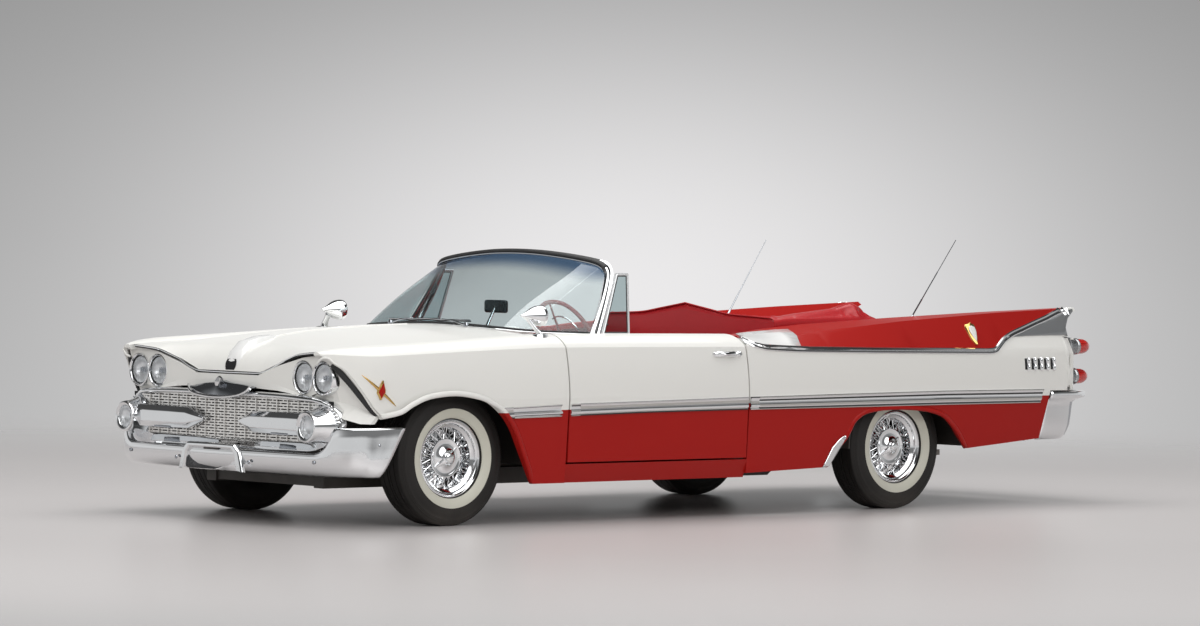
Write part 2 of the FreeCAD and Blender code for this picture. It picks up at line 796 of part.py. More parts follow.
def tunnel():
    """Hump over the driveshaft, along the middle of the floor."""
    z = size("floor_z")
    return box((560, 2480), (-110, 110), (z, z + 130))


def bench(name, half, front, back, cushion_z, back_top, lean):
    """Bench seat: a cushion and a leaning back, padded across the car and cut over the tunnel."""
    bottom = size("floor_z") + size("floor_wall")
    profile = [
        (front, bottom), (front, cushion_z - 24), (front + 24, cushion_z), (back - 150, cushion_z - 25),
        (back - 150 + lean, back_top - 22), (back - 120 + lean, back_top), (back - 30 + lean, back_top),
        (back + lean, back_top - 26), (back, bottom),
    ]
    corners = [(f"{at_x(s)} mm", f"{z} mm") for s, z in profile]
    body = padded_body(name + "_body", "XZ_Plane", corners, f"sizes.{half} * 2")
    over = doc.addObject("Part::Box", name + "_tunnel")
    over.Length, over.Width, over.Height = 2000, 220, 130
    over.Placement = Placement(Vector(at_x(560), -110, size("floor_z")), Rotation())
    seat = doc.addObject("Part::Cut", name)
    seat.Base = body
    seat.Tool = over
    keep_object(name, seat)


def make_seats():
    bench("front_seat", "seat_half_width", 1180, 1700, 520, 870, 60)
    bench("rear_seat", "rear_seat_half_width", 1960, 2330, 510, 850, 40)


# Boot cover sections across the car. Columns: station, centre z, z at y 330, shoulder y and z, edge z, bottom z.
BOOT_COVER = [
    (2340, 1076, 1026, 610, 1008, 1000, 880),
    (2500, 1074, 1034, 610, 1026, 1000, 880),
    (2740, 1080, 1064, 606, 1056, 998, 880),
    (2990, 1090, 1088, 596, 1084, 994, 890),
    (3080, 1052, 1050, 628, 1046, 990, 900),
    (3160, 998, 996, 660, 990, 984, 910),
]


def make_boot_cover():
    """Vinyl cover over the folded top, behind the rear seat."""
    edge_y = size("lid_edge_y")
    sections = []
    for station, centre_z, mid_z, shoulder_y, shoulder_z, edge_z, low_z in BOOT_COVER:
        x = at_x(station)
        half = [(330, mid_z), (shoulder_y, shoulder_z), (edge_y, edge_z), (edge_y, low_z)]
        right = [(x, y, z) for y, z in half]
        left = [(x, -y, z) for y, z in reversed(half)]
        sections.append(outline((x, 0, centre_z), *right, *left))
    keep("boot_cover", loft(sections, ruled=True))


# ---------------------------------------------------------------- tail

def make_trunk_lid():
    edge_y, wall = size("lid_edge_y"), size("lid_wall")
    rows = [(3176, 998, 968), (3500, 1000, 964), (3900, 988, 955), (4330, 962, 938)]
    sections = []
    for station, centre_z, edge_z in rows:
        x = at_x(station)
        sections.append(outline(
            (x, -edge_y, edge_z), ((x, 0, centre_z), (x, edge_y, edge_z)), (x, edge_y, edge_z - wall),
            ((x, 0, centre_z - wall), (x, -edge_y, edge_z - wall)),
        ))
    top = loft(sections)
    x = at_x(4330)
    upper = outline(
        (x, -edge_y, 938), ((x, 0, 962), (x, edge_y, 938)), (x, edge_y, 938 - wall),
        ((x, 0, 962 - wall), (x, -edge_y, 938 - wall)),
    )
    x = at_x(4386)
    lip = outline(
        (x, -edge_y, 905), ((x + 14, 0, 912), (x, edge_y, 905)), (x - 22, edge_y, 892),
        ((x - 8, 0, 899), (x - 22, -edge_y, 892)),
    )
    x = at_x(4396)
    foot = outline(
        (x, -edge_y, 700), ((x + 18, 0, 700), (x, edge_y, 700)), (x - 24, edge_y, 700),
        ((x - 6, 0, 700), (x - 24, -edge_y, 700)),
    )
    rear = Part.makeLoft([upper, lip, foot], True, True)
    keep("trunk_lid", fused(top, rear))


def make_tail_panel():
    """Body across the tail below the lid, and up its two sides behind the lamps."""
    x0, x1 = 4376, 4402
    panel = box((x0, x1), (-925, 925), (622, 692))
    sides = [box((x0, x1), sorted((side * 690, side * 925)), (622, 905)) for side in (-1, 1)]
    panel = fused(panel, *sides)
    keep("tail_panel", panel.cut([nodes["right_quarter"].Shape, nodes["left_quarter"].Shape]))


TAIL_LAMPS = ((4444, 856), (4432, 692))


def make_tail_lamps():
    """Four rocket lamps: chrome barrel and red lens, on the tail's lobes."""
    # Columns: distance along the lamp, radius.
    rocket = ((0, 46), (76, 37), (76, 31), (136, 29), (160, 20), (172, 0))
    half = outline((0, 0, 0), *[(radius, 0, along) for along, radius in rocket])
    lamp = Part.Face(half).revolve(Vector(0, 0, 0), Vector(0, 0, 1), 360)
    lamp.rotate(Vector(0, 0, 0), Vector(0, 1, 0), 90)
    lamps = []
    for station, z in TAIL_LAMPS:
        for side in (-1, 1):
            one = lamp.copy()
            one.translate(Vector(at_x(station + 20), side * 800, z))
            lamps.append(one)
    keep("tail_lamps", Part.makeCompound(lamps))


def make_rear_bumper():
    """Chrome blade with a flange along its top, and a bare plate recess."""
    blade = bumper_blade(REAR_BUMPER, REAR_LEVELS, 28)
    recess = box((4590, 4640), (-172, 172), (420, 560))
    mount = box((4560, 4604), (-190, 190), (410, 552))
    ends = side_prism([(4000, 700), (4000, 300), (4112, 345), (4180, 622), (4180, 700)], -1100, 1100)
    blade = fused(blade.cut(ends), mount).cut([recess] + plate_bolts(4500, 500))
    irons = [box((4370, 4580), (side * 430 - 20, side * 430 + 20), (440, 480)) for side in (-1, 1)]
    keep("rear_bumper", fused(blade, *irons))


# ---------------------------------------------------------------- underbody

def make_floor():
    """Floor with its tunnel, the step under the rear seat, the trunk floor and the panel behind it."""
    z, wall = size("floor_z"), size("floor_wall")
    half, trunk_half = size("floor_half_width"), size("trunk_half_width")
    trunk_z = size("trunk_floor_z")
    keep("floor_pan", fused(
        box((560, 2480), (-half, half), (z, z + wall)),
        box((2472, 2480), (-half, half), (z, trunk_z + wall)),
        box((2472, 4370), (-trunk_half, trunk_half), (trunk_z, trunk_z + wall)),
        box((4362, 4370), (-trunk_half, trunk_half), (330, 640)),
        tunnel(),
    ))


def make_firewall():
    """Firewall with the two aprons beside the engine, open where the upper arms pass through."""
    z, wall = size("floor_z"), size("floor_wall")
    half, apron = size("floor_half_width"), size("apron_y")
    pieces = [box((560 - wall, 560), (-half, half), (z, 880))]
    for side in (-1, 1):
        pieces.append(box((-640, 560), sorted((side * apron, side * (apron + wall))), (330, 800)))
    keep("firewall", fused(*pieces).cut(box((-70, 70), (-500, 500), (400, 520))))


def make_wheel_housings():
    """Half drums over the rear wheels, open outward and below, with the axle's opening inboard."""
    wall, outer = size("floor_wall"), size("housing_radius")
    low, high = size("trunk_half_width"), 925
    centre = Vector(at_x(size("wheelbase")), low, size("hub_height"))
    drum = Part.makeCylinder(outer, high - low, centre, Vector(0, 1, 0))
    hollow = Part.makeCylinder(outer - wall, high - low, centre + Vector(0, wall, 0), Vector(0, 1, 0))
    axle = size("wheelbase")
    housing = drum.cut([
        hollow, box((2500, 3700), (low - 1, high + 1), (-200, size("hub_height"))),
        box((axle - 60, axle + 60), (low - 1, low + wall + 1), (200, 450)),
    ])
    keep("wheel_housings", both(housing))


EXHAUST_Y = 325
EXHAUST_Z = 226


# The rails' two levels: under the cabin, then over the rear axle. Columns: name, start station, length, low z.
RAIL_RUNS = [("front", -480, 3000, 175), ("rear", 2740, 1620, 382)]
# Crossmembers: station, low z.
CROSSMEMBERS = [(-470, 183), (620, 183), (1500, 183), (2350, 183), (3560, 386), (4280, 386)]


def make_frame():
    """Two box rails that kick up over the rear axle, with crossmembers, joined in one fuse."""
    half, width, height = size("rail_y"), size("rail_width"), size("rail_height")
    members = []
    for side in (-1, 1):
        y = side * half - width / 2
        for name, station, length, low_z in RAIL_RUNS:
            rail = bound_box(f"rail_{name}_{side + 1}", Vector(at_x(station), y, low_z),
                             Width="sizes.rail_width", Height="sizes.rail_height * 0.8")
            rail.Length = length
            members.append(rail)
        low, high = RAIL_RUNS[0][3], RAIL_RUNS[1][3]
        kick = doc.addObject("Part::Feature", f"rail_kick_{side + 1}")
        kick.Shape = side_prism(
            [(2450, low), (2520, low), (2800, high), (2800, high + height * 0.8),
             (2730, high + height * 0.8), (2450, low + height * 0.8)], y, y + width)
        members.append(kick)
    for index, (station, low_z) in enumerate(CROSSMEMBERS):
        cross = bound_box(f"cross_{index}", Vector(at_x(station), -half, low_z),
                          Length="sizes.rail_width", Height="sizes.rail_height * 0.7")
        cross.Width = 2 * half
        members.append(cross)
    frame = joined("frame_fuse", members)
    hole = doc.addObject("Part::Cylinder", "exhaust_hole")
    hole.Radius = 34
    hole.Height = 2900
    hole.Placement = Placement(Vector(at_x(100), EXHAUST_Y, EXHAUST_Z), Rotation(Vector(0, 1, 0), 90))
    pierced = doc.addObject("Part::Cut", "frame_pierced")
    pierced.Base = frame
    pierced.Tool = hole
    keep_object("frame_rails", pierced)


def make_engine():
    engine = bound_box("engine_block", Vector(at_x(-280), -250, 300),
                       Length="sizes.engine_length", Width="sizes.engine_width",
                       Height="sizes.engine_height")
    keep_object("engine", engine)


def make_front_suspension():
    """Crossmember with an upper and a lower arm to each knuckle."""
    kingpin = size("kingpin_y")
    rail_inner = size("rail_y") - size("rail_width") / 2
    rail_outer = size("rail_y") + size("rail_width") / 2
    beam = [box((-60, 60), (-rail_inner, rail_inner), (176, 240))]
    arms = []
    for side in (-1, 1):
        beam.append(tube((0, side * 355, 200), (0, side * 355, 470), 30))
        beam.append(tube((0, side * 355, 452), (0, side * kingpin, 452), 11))
        beam.append(tube((0, side * kingpin, 438), (0, side * kingpin, 466), 26))
        lower = fused(
            tube((-75, side * (rail_outer - 20), 208), (0, side * kingpin, 197), 12),
            tube((75, side * (rail_outer - 20), 208), (0, side * kingpin, 197), 12),
            tube((0, side * kingpin, 180), (0, side * kingpin, 214), 28),
        )
        low, high = sorted((side * (rail_outer - 60), side * rail_outer))
        arms.append(lower.cut(box((-200, 200), (low, high), (100, 300))))
    keep("front_suspension", Part.makeCompound([fused(*beam)] + arms))


def make_knuckles():
    """Upright with its spindle, between the two arms."""
    kingpin, hub_z = size("kingpin_y"), size("hub_height")
    spindle_end = size("front_track") / 2 - 40
    for side, name in ((-1, "left"), (1, "right")):
        post = bar_between(f"{name}_post", (0, side * kingpin, 214.5), (0, side * kingpin, 437.5),
                           "sizes.kingpin_radius")
        spindle = bar_between(f"{name}_spindle", (0, side * kingpin, hub_z), (0, side * spindle_end, hub_z),
                              "sizes.spindle_radius")
        keep_object(f"{name}_knuckle", joined(f"{name}_knuckle", [post, spindle]))


def make_rear_axle():
    """Axle tube with its differential, on two leaf springs."""
    hub_z, axle = size("hub_height"), size("wheelbase")
    end = size("rear_track") / 2 - 93
    housing = doc.addObject("Part::Cone", "differential")
    housing.Radius1, housing.Radius2, housing.Height = 138, 92, 170
    housing.Placement = Placement(Vector(at_x(axle - 70), 0, hub_z), Rotation(Vector(0, 1, 0), 90))
    nose = bar_between("pinion_nose", (axle - 200, 0, hub_z), (axle, 0, hub_z), "sizes.axle_radius * 1.6")
    members = [
        bar_between("axle_tube", (axle, -end, hub_z), (axle, end, hub_z), "sizes.axle_radius"), housing, nose,
    ]
    for side in (-1, 1):
        y = side * 545 - 30
        leaf = doc.addObject("Part::Box", f"leaf_spring_{side + 1}")
        leaf.Length, leaf.Width, leaf.Height = 1240, 60, 30
        leaf.Placement = Placement(Vector(at_x(2480), y, 262), Rotation())
        pad = doc.addObject("Part::Box", f"spring_pad_{side + 1}")
        pad.Length, pad.Width, pad.Height = 120, 60, 42
        pad.Placement = Placement(Vector(at_x(axle - 60), y, 288), Rotation())
        members += [leaf, pad]
    keep_object("rear_axle", joined("rear_axle", members))


# Exhaust pipe from the engine to the tail, as (station, z) of its bends.
EXHAUST_RUN = [(300, 226), (3190, 226), (3560, 300), (4440, 300)]


def make_exhaust():
    pieces = []
    for index, (start, end) in enumerate(zip(EXHAUST_RUN, EXHAUST_RUN[1:])):
        pieces.append(bar_between(f"pipe_{index}", (start[0], EXHAUST_Y, start[1]),
                                  (end[0], EXHAUST_Y, end[1]), "sizes.pipe_radius"))
    for index, (station, z) in enumerate(EXHAUST_RUN[1:-1]):
        elbow = doc.addObject("Part::Sphere", f"elbow_{index}")
        elbow.setExpression("Radius", "sizes.pipe_radius * 1.08")
        elbow.Placement = Placement(Vector(at_x(station), EXHAUST_Y, z), Rotation())
        pieces.append(elbow)
    muffler = bar_between("muffler", (1620, EXHAUST_Y, EXHAUST_Z), (2300, EXHAUST_Y, EXHAUST_Z),
                          "sizes.muffler_radius")
    keep_object("exhaust", joined("exhaust", [*pieces, muffler]))


def make_fuel_tank():
    """Flat tank under the trunk floor, its four upright edges rounded."""
    tank = bound_box("tank_box", Vector(at_x(3660), -size("tank_width") / 2, 320),
                     Length="sizes.tank_length", Width="sizes.tank_width", Height="sizes.tank_height")
    doc.recompute()
    upright = [
        index for index, edge in enumerate(tank.Shape.Edges, start=1)
        if abs(edge.BoundBox.ZLength - size("tank_height")) < 0.01
    ]
    rounded = doc.addObject("Part::Fillet", "fuel_tank")
    rounded.Base = tank
    rounded.Edges = [(index, size("tank_fillet"), size("tank_fillet")) for index in upright]
    tank.Visibility = False
    keep_object("fuel_tank", rounded)


# ---------------------------------------------------------------- wheels

# Half section of the tyre about its axis, as expressions for the radius and the place along the axis.
TYRE = [
    ("rim_radius", "-rim_width / 2"), ("flange_radius + 2", "-rim_width / 2"),
    ("flange_radius + 12", "-rim_width / 2 - 11"), ("flange_radius + 52", "-tyre_width / 2"),
    ("tyre_radius - 22", "-tyre_width / 2 + 8"), ("tyre_radius", "-tyre_flat / 2"),
    ("tyre_radius", "tyre_flat / 2"), ("tyre_radius - 22", "tyre_width / 2 - 8"),
    ("flange_radius + 52", "tyre_width / 2"), ("flange_radius + 12", "rim_width / 2 + 11"),
    ("flange_radius + 2", "rim_width / 2"), ("rim_radius", "rim_width / 2"),
]


def sheet_rule(rule):
    """An expression on the sheet's aliases, written the way a document object reads it."""
    words = [f"sizes.{word}" if word in dict(SIZES) else word for word in rule.replace("-", "- ").split()]
    return " ".join(words) + " * 1 mm" if len(words) == 1 else "(" + " ".join(words) + ") * 1 mm"


def make_wheel_shape():
    """Wire wheel with hub, drum, drop-centre rim and two rows of crossed spokes. Axis Z, outboard +Z."""
    well, seat, flange = size("rim_radius") - 18, size("rim_radius"), size("flange_radius")
    half = size("rim_width") / 2
    rim_profile = outline(
        (seat, 0, -half), (flange, 0, -half), (flange, 0, -half - 6), (seat - 6, 0, -half - 6),
        (well - 6, 0, -30), (well - 6, 0, 26), (seat - 6, 0, half + 6), (flange, 0, half + 6),
        (flange, 0, half), (seat, 0, half), (well, 0, 26), (well, 0, -30),
    )
    rim = Part.Face(rim_profile).revolve(Vector(0, 0, 0), Vector(0, 0, 1), 360)
    hub_radius, bore = size("hub_radius"), size("hub_bore")
    hub_profile = outline(
        (bore, 0, -92), (size("drum_radius"), 0, -92), (size("drum_radius"), 0, -40),
        (hub_radius + 12, 0, -34), (hub_radius + 12, 0, -24), (hub_radius, 0, -20), (hub_radius - 6, 0, 44),
        (hub_radius + 2, 0, 50), (hub_radius - 14, 0, 62), (0, 0, 70), (0, 0, -20), (bore, 0, -20),
    )
    hub = Part.Face(hub_profile).revolve(Vector(0, 0, 0), Vector(0, 0, 1), 360)
    spokes = []
    pairs = int(size("spoke_pairs"))
    for hub_z, hub_r, rim_z, rim_r, lead in (
        (44, hub_radius - 4, 4, well - 3, 17), (-20, hub_radius + 8, 14, well - 3, 13),
    ):
        for index in range(pairs):
            for side in (-1, 1):
                start_angle = math.radians(360 * index / pairs + side * 4)
                end_angle = math.radians(360 * index / pairs + side * (4 + lead))
                start = Vector(hub_r * math.cos(start_angle), hub_r * math.sin(start_angle), hub_z + side * 2)
                end = Vector(rim_r * math.cos(end_angle), rim_r * math.sin(end_angle), rim_z + side * 6)
                spokes.append(square_bar(start, end, size("spoke_radius") * 1.8))
    spinner = [Part.makeCone(30, 16, 26, Vector(0, 0, 62))]
    for angle in (0, 180):
        blade = Part.Face(outline((0, -17, 66), (74, -8, 66), (74, 8, 66), (0, 17, 66))).extrude(Vector(0, 0, 12))
        blade.rotate(Vector(0, 0, 0), Vector(0, 0, 1), angle + 30)
        spinner.append(blade)
    return rim.fuse([hub] + spokes + spinner).removeSplitter()


def make_wheels():
    """Four tyres turned from their section, and four wire wheels."""
    wheel = make_wheel_shape()
    places = []
    for end, station, track in (("front", 0, "front_track"), ("rear", size("wheelbase"), "rear_track")):
        for side, name in ((-1, "left"), (1, "right")):
            places.append((f"{end}_{name}", station, side, size(track) / 2))
    for name, station, side, half_track in places:
        turn = Rotation(Vector(1, 0, 0), -90 * side)
        place = Placement(Vector(at_x(station), side * half_track, size("hub_height")), turn)
        tyre = turned_body(f"{name}_tyre", [(sheet_rule(a), sheet_rule(b)) for a, b in TYRE])
        tyre.Placement = place
        keep_object(f"{name}_tyre", tyre)
        keep(f"{name}_wheel", wheel.copy(), place)


# ---------------------------------------------------------------- mirrors and antennas

def make_mirrors():
    """Round mirrors on slanted stems, on the fenders near the windshield."""
    stem = tube((634, 808, 926), (588, 798, 1020), 9)
    shell = tube((606, 800, 1034), (556, 798, 1026), 46)
    tip = tube((560, 796, 1022), (500, 792, 1014), 9)
    mirror = largest(fused(stem, shell, tip).cut(nodes["front_right_fender"].Shape))
    keep("mirrors", both(mirror))


def make_antennas():
    base = tube((3345, 728, 985), (3350, 727, 1030), 12)
    mast = tube((3348, 727, 1020), (3645, 722, 1435), 4)
    antenna = fused(base, mast).cut(nodes["right_quarter"].Shape)
    keep("antennas", both(largest(antenna)))


# ---------------------------------------------------------------- build, test and write

def main():
    for make in (
        make_front_fender, make_door, make_vent_window, make_quarter, make_rockers, make_hood,
        make_headlamp_panel, make_headlamps, make_grille_surround, make_grille, make_front_bumper,
        make_windshield, make_cowl, make_dashboard, make_steering_wheel, make_seats, make_boot_cover,
        make_trunk_lid, make_tail_panel, make_tail_lamps, make_rear_bumper, make_floor, make_firewall,
        make_wheel_housings, make_frame,
        make_engine, make_front_suspension, make_knuckles, make_rear_axle, make_exhaust, make_fuel_tank,
        make_wheels, make_mirrors, make_antennas,
    ):
        make()
    doc.recompute()
    for feature in doc.Objects:
        if {"Invalid", "Error"} & set(feature.State):
            raise RuntimeError(f"{feature.Label} failed: {feature.State}")
    for name, feature in nodes.items():
        if feature.Shape.isNull() or not feature.Shape.isValid():
            raise RuntimeError(f"{name} has no valid shape")
    os.makedirs("parts", exist_ok=True)
    for name, feature in nodes.items():
        feature.Shape.exportStep(f"parts/{name}.step")
    print(len(nodes), "sub-parts written")


main()
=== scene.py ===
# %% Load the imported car
import math
import bmesh
import bpy
from mathutils import Matrix, Vector


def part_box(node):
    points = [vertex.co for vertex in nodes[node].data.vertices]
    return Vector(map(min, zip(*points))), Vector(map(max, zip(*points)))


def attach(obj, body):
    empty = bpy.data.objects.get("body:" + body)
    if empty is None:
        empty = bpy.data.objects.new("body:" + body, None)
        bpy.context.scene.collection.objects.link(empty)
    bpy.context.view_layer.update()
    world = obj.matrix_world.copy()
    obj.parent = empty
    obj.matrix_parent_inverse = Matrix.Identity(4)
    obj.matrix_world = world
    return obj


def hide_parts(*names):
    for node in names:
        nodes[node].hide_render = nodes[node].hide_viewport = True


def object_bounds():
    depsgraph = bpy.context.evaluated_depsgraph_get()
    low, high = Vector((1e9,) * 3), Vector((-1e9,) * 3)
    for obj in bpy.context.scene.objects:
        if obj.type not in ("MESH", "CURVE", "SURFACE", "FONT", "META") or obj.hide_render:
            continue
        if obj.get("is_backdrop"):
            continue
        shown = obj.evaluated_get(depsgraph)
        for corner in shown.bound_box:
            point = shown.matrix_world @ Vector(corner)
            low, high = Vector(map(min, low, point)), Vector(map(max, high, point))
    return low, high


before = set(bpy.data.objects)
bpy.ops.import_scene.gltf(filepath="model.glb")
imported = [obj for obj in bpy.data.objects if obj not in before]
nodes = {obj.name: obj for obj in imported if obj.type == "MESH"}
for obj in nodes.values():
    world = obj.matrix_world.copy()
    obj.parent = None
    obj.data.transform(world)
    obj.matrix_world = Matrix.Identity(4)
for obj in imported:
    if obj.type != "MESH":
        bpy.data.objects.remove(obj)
cad_low, cad_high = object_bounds()
print("nodes:", len(nodes), "car box:", [round(v, 3) for v in cad_high - cad_low])

# %% [markdown]
# Places are written as a body shop gives them: millimetres behind the front axle, to the car's right of the centre
# line, and above the floor. The axle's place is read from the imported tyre. `spot` turns such a triple into metres.

# %% Car coordinates
tyre_low, tyre_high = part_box("front_left_tyre")
front_axle = (tyre_low.x + tyre_high.x) / 2
rear_low, rear_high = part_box("rear_left_tyre")
rear_axle = (rear_low.x + rear_high.x) / 2
hub_z = (tyre_low.z + tyre_high.z) / 2
wheelbase = (rear_axle - front_axle) * 1000


def spot(station, y, z):
    """A place on the car, from millimetres to the frame's metres."""
    return Vector((front_axle + station / 1000, y / 1000, z / 1000))


SIDES = ((-1, "left"), (1, "right"))
print("front axle at", round(front_axle, 4), "wheelbase", round(wheelbase, 1), "hub height", round(hub_z, 3))

# %% [markdown]
# The camera stands to the car's left front, low and far away with a long lens, as for a catalogue. A short lens up
# close would make the near headlamp too large. The vectors are the camera's right and backward directions.

# %% Camera
view_data = bpy.data.cameras.new("studio_camera")
view_data.sensor_width = 36.0
view_data.lens = 138.851
view_data.shift_y = 0.00224
view_data.clip_end = 400.0
camera = bpy.data.objects.new("studio_camera", view_data)
bpy.context.scene.collection.objects.link(camera)
right = Vector((0.7436889, -0.6683719, 0.01434682)).normalized()
back = Vector((-0.6685257, -0.74353236, 0.01526495)).normalized()
up = back.cross(right).normalized()
turn = Matrix((right, up, back)).transposed().to_4x4()
camera.matrix_world = Matrix.Translation(Vector((front_axle - 14.52402, -18.08093, 1.37905))) @ turn
bpy.context.scene.camera = camera
bpy.context.scene.view_settings.view_transform = "Standard"
print("camera", [round(v, 3) for v in camera.location])

# %% [markdown]
# A studio backdrop is bright behind the car and falls off towards the corners. A curved sheet would stand in the way
# when the car is seen from behind, so the world itself is the backdrop: its brightness follows the direction one looks
# in. Metal and glass see a second set of levels, with pale low walls and a dark ceiling round the lamps.

# %% Backdrop in the world
world = bpy.data.worlds.new("studio_backdrop")
world.use_nodes = True
bpy.context.scene.world = world
tree = world.node_tree
tree.nodes.clear()


def feed(tree, made, inputs):
    """Fill a node's sockets: another node's output is linked, and a number or colour is set as a constant."""
    for name, value in inputs.items():
        socket = made.inputs[name]
        if isinstance(value, bpy.types.NodeSocket):
            tree.links.new(value, socket)
        else:
            socket.default_value = (*value, 1) if socket.type == "RGBA" else value
    return made


def node(tree, kind, inputs=None, **settings):
    """A new shader node with its settings and its filled sockets."""
    made = tree.nodes.new(kind)
    for key, value in settings.items():
        setattr(made, key, value)
    return feed(tree, made, inputs or {})


def sums(tree, operation, *values, clamp=False):
    """A Math node. Each value is a number or another node's output."""
    return node(tree, "ShaderNodeMath", dict(enumerate(values)), operation=operation, use_clamp=clamp).outputs[0]


def vectors(tree, operation, first, second):
    """A Vector Math node's vector. The second value of a scale is a number."""
    place = "Scale" if operation == "SCALE" else 1
    return node(tree, "ShaderNodeVectorMath", {0: first, place: second}, operation=operation).outputs[0]


def towards(tree, direction, vector):
    """How far a direction points along a fixed one."""
    return node(tree, "ShaderNodeVectorMath", {0: vector, 1: direction}, operation="DOT_PRODUCT").outputs["Value"]


def fading(tree, value, low, high, top=1.0, bottom=0.0):
    """A soft step of a value between two places."""
    return node(tree, "ShaderNodeMapRange", {"Value": value, "From Min": low, "From Max": high, "To Min": bottom,
                                             "To Max": top}, interpolation_type="SMOOTHSTEP").outputs[0]


def shader_mix(tree, factor, first, second):
    """Two shaders mixed by a factor."""
    return node(tree, "ShaderNodeMixShader", {0: factor, 1: first.outputs[0], 2: second.outputs[0]}).outputs[0]


def ramp(tree, factor, stops):
    """A colour ramp from (place, brightness or colour) stops."""
    made = node(tree, "ShaderNodeValToRGB")
    made.color_ramp.elements.remove(made.color_ramp.elements[1])
    for index, (place, value) in enumerate(stops):
        element = made.color_ramp.elements[0] if index == 0 else made.color_ramp.elements.new(place)
        element.position = place
        element.color = (value, value, value, 1) if isinstance(value, float) else (*value, 1)
    return feed(tree, made, {"Fac": factor}).outputs["Color"]


direction = node(tree, "ShaderNodeTexCoord").outputs["Generated"]
ahead = sums(tree, "MAXIMUM", towards(tree, direction, -back), 0.05)
over, beside, inward = (towards(tree, direction, Vector(v)) for v in ((0, 0, 1), (1, 0, 0), (0, -1, 0)))


def fall(way, middle, reach):
    """How far a direction lies from the glow's middle along one way, squared."""
    seen = sums(tree, "SUBTRACT", sums(tree, "DIVIDE", towards(tree, direction, way), ahead), middle)
    return sums(tree, "POWER", sums(tree, "DIVIDE", sums(tree, "ABSOLUTE", seen), reach), 2.0)


both_falls = sums(tree, "ADD", fall(right, 0.006, 0.105), fall(up, 0.01, 0.057))
glow = sums(tree, "EXPONENT", sums(tree, "MULTIPLY", both_falls, -1.0))
height = sums(tree, "ADD", sums(tree, "MULTIPLY", over, 0.5), 0.5)
studio = ramp(tree, height, [
    (0.0, 0.46), (0.462, 0.50), (0.5, 0.36), (0.535, 0.28), (0.60, 0.24), (0.70, 0.40), (0.80, 0.95), (1.0, 1.15),
])
backdrop = vectors(tree, "ADD", studio, vectors(tree, "SCALE", (0.455, 0.445, 0.45), glow))
mirrored = ramp(tree, height, [
    (0.0, 0.50), (0.42, 0.62), (0.5, 0.66), (0.56, 0.72), (0.62, 0.55), (0.68, 0.22), (0.74, 0.07), (0.90, 0.05),
    (1.0, 0.10),
])
shaded = sums(tree, "MULTIPLY", fading(tree, height, 0.49, 0.53), fading(tree, inward, 0.1, 0.9))
dimmed = vectors(tree, "SCALE", mirrored, sums(tree, "SUBTRACT", 1.0, sums(tree, "MULTIPLY", shaded, 0.72)))
# One more pale screen runs across, high on the camera's side. Only the bend of the windscreen faces it.
hung = sums(tree, "MULTIPLY", fading(tree, beside, 0.58, 0.48, 2.6), fading(tree, beside, -0.50, -0.40))
hung = sums(tree, "MULTIPLY", hung, fading(tree, over, 0.20, 0.34))
hung = sums(tree, "MULTIPLY", hung, fading(tree, inward, -0.12, 0.0))
plain = node(tree, "ShaderNodeBackground", {"Color": backdrop})
in_metal = node(tree, "ShaderNodeBackground", {"Color": vectors(tree, "ADD", dimmed, hung)})
shown = shader_mix(tree, node(tree, "ShaderNodeLightPath").outputs["Is Glossy Ray"], plain, in_metal)
node(tree, "ShaderNodeOutputWorld", {"Surface": shown})
print("backdrop nodes:", len(tree.nodes))

# %% [markdown]
# The floor is pale and slightly glossy, so it holds a soft shadow and a dim reflection. It fades into the backdrop a
# few metres from the car, which hides the horizon as a studio's curved wall does.

# %% Floor
def object_of(name, bm):
    """An object at the origin with a bmesh's shape. The bmesh is freed."""
    mesh = bpy.data.meshes.new(name)
    bm.to_mesh(mesh)
    bm.free()
    made = bpy.data.objects.new(name, mesh)
    bpy.context.scene.collection.objects.link(made)
    return made


bm = bmesh.new()
bmesh.ops.create_circle(bm, cap_ends=True, segments=96, radius=16.0)
floor = object_of("studio_floor", bm)
floor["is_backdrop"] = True
FLOOR_FADE = 4.2, 13.0


def new_material(name):
    """A material with its tree and its Principled shader."""
    material = bpy.data.materials.new(name)
    material.use_nodes = True
    return material, material.node_tree, material.node_tree.nodes["Principled BSDF"]


def seen_through(tree, factor, shader, clear=None):
    """Show a shader that turns clear by a factor."""
    clear = node(tree, "ShaderNodeBsdfTransparent", clear)
    feed(tree, tree.nodes["Material Output"], {"Surface": shader_mix(tree, factor, shader, clear)})


def object_place(tree):
    """The place on the car that a shader sees."""
    return node(tree, "ShaderNodeTexCoord").outputs["Object"]


floor_paint, tree, shader = new_material("studio_floor_paint")
place = object_place(tree)
clouds = node(tree, "ShaderNodeTexNoise", {"Scale": 0.35, "Vector": place}).outputs["Fac"]
feed(tree, shader, {"Roughness": 0.34, "Specular IOR Level": 0.42,
                    "Base Color": ramp(tree, clouds, [(0.3, (0.47, 0.445, 0.44)), (0.7, (0.49, 0.465, 0.46))])})
reach = node(tree, "ShaderNodeVectorMath", {0: place}, operation="LENGTH").outputs["Value"]
seen_through(tree, fading(tree, reach, *FLOOR_FADE), shader)
floor.data.materials.append(floor_paint)
print("floor fades over", FLOOR_FADE, "m")

# %% [markdown]
# Three large area lamps light the car: overhead, towards its nose, and along the side that faces the camera. Small
# lamps would give hard shadows and pin-point glints.

# %% Lamps
car_middle = (cad_low + cad_high) / 2


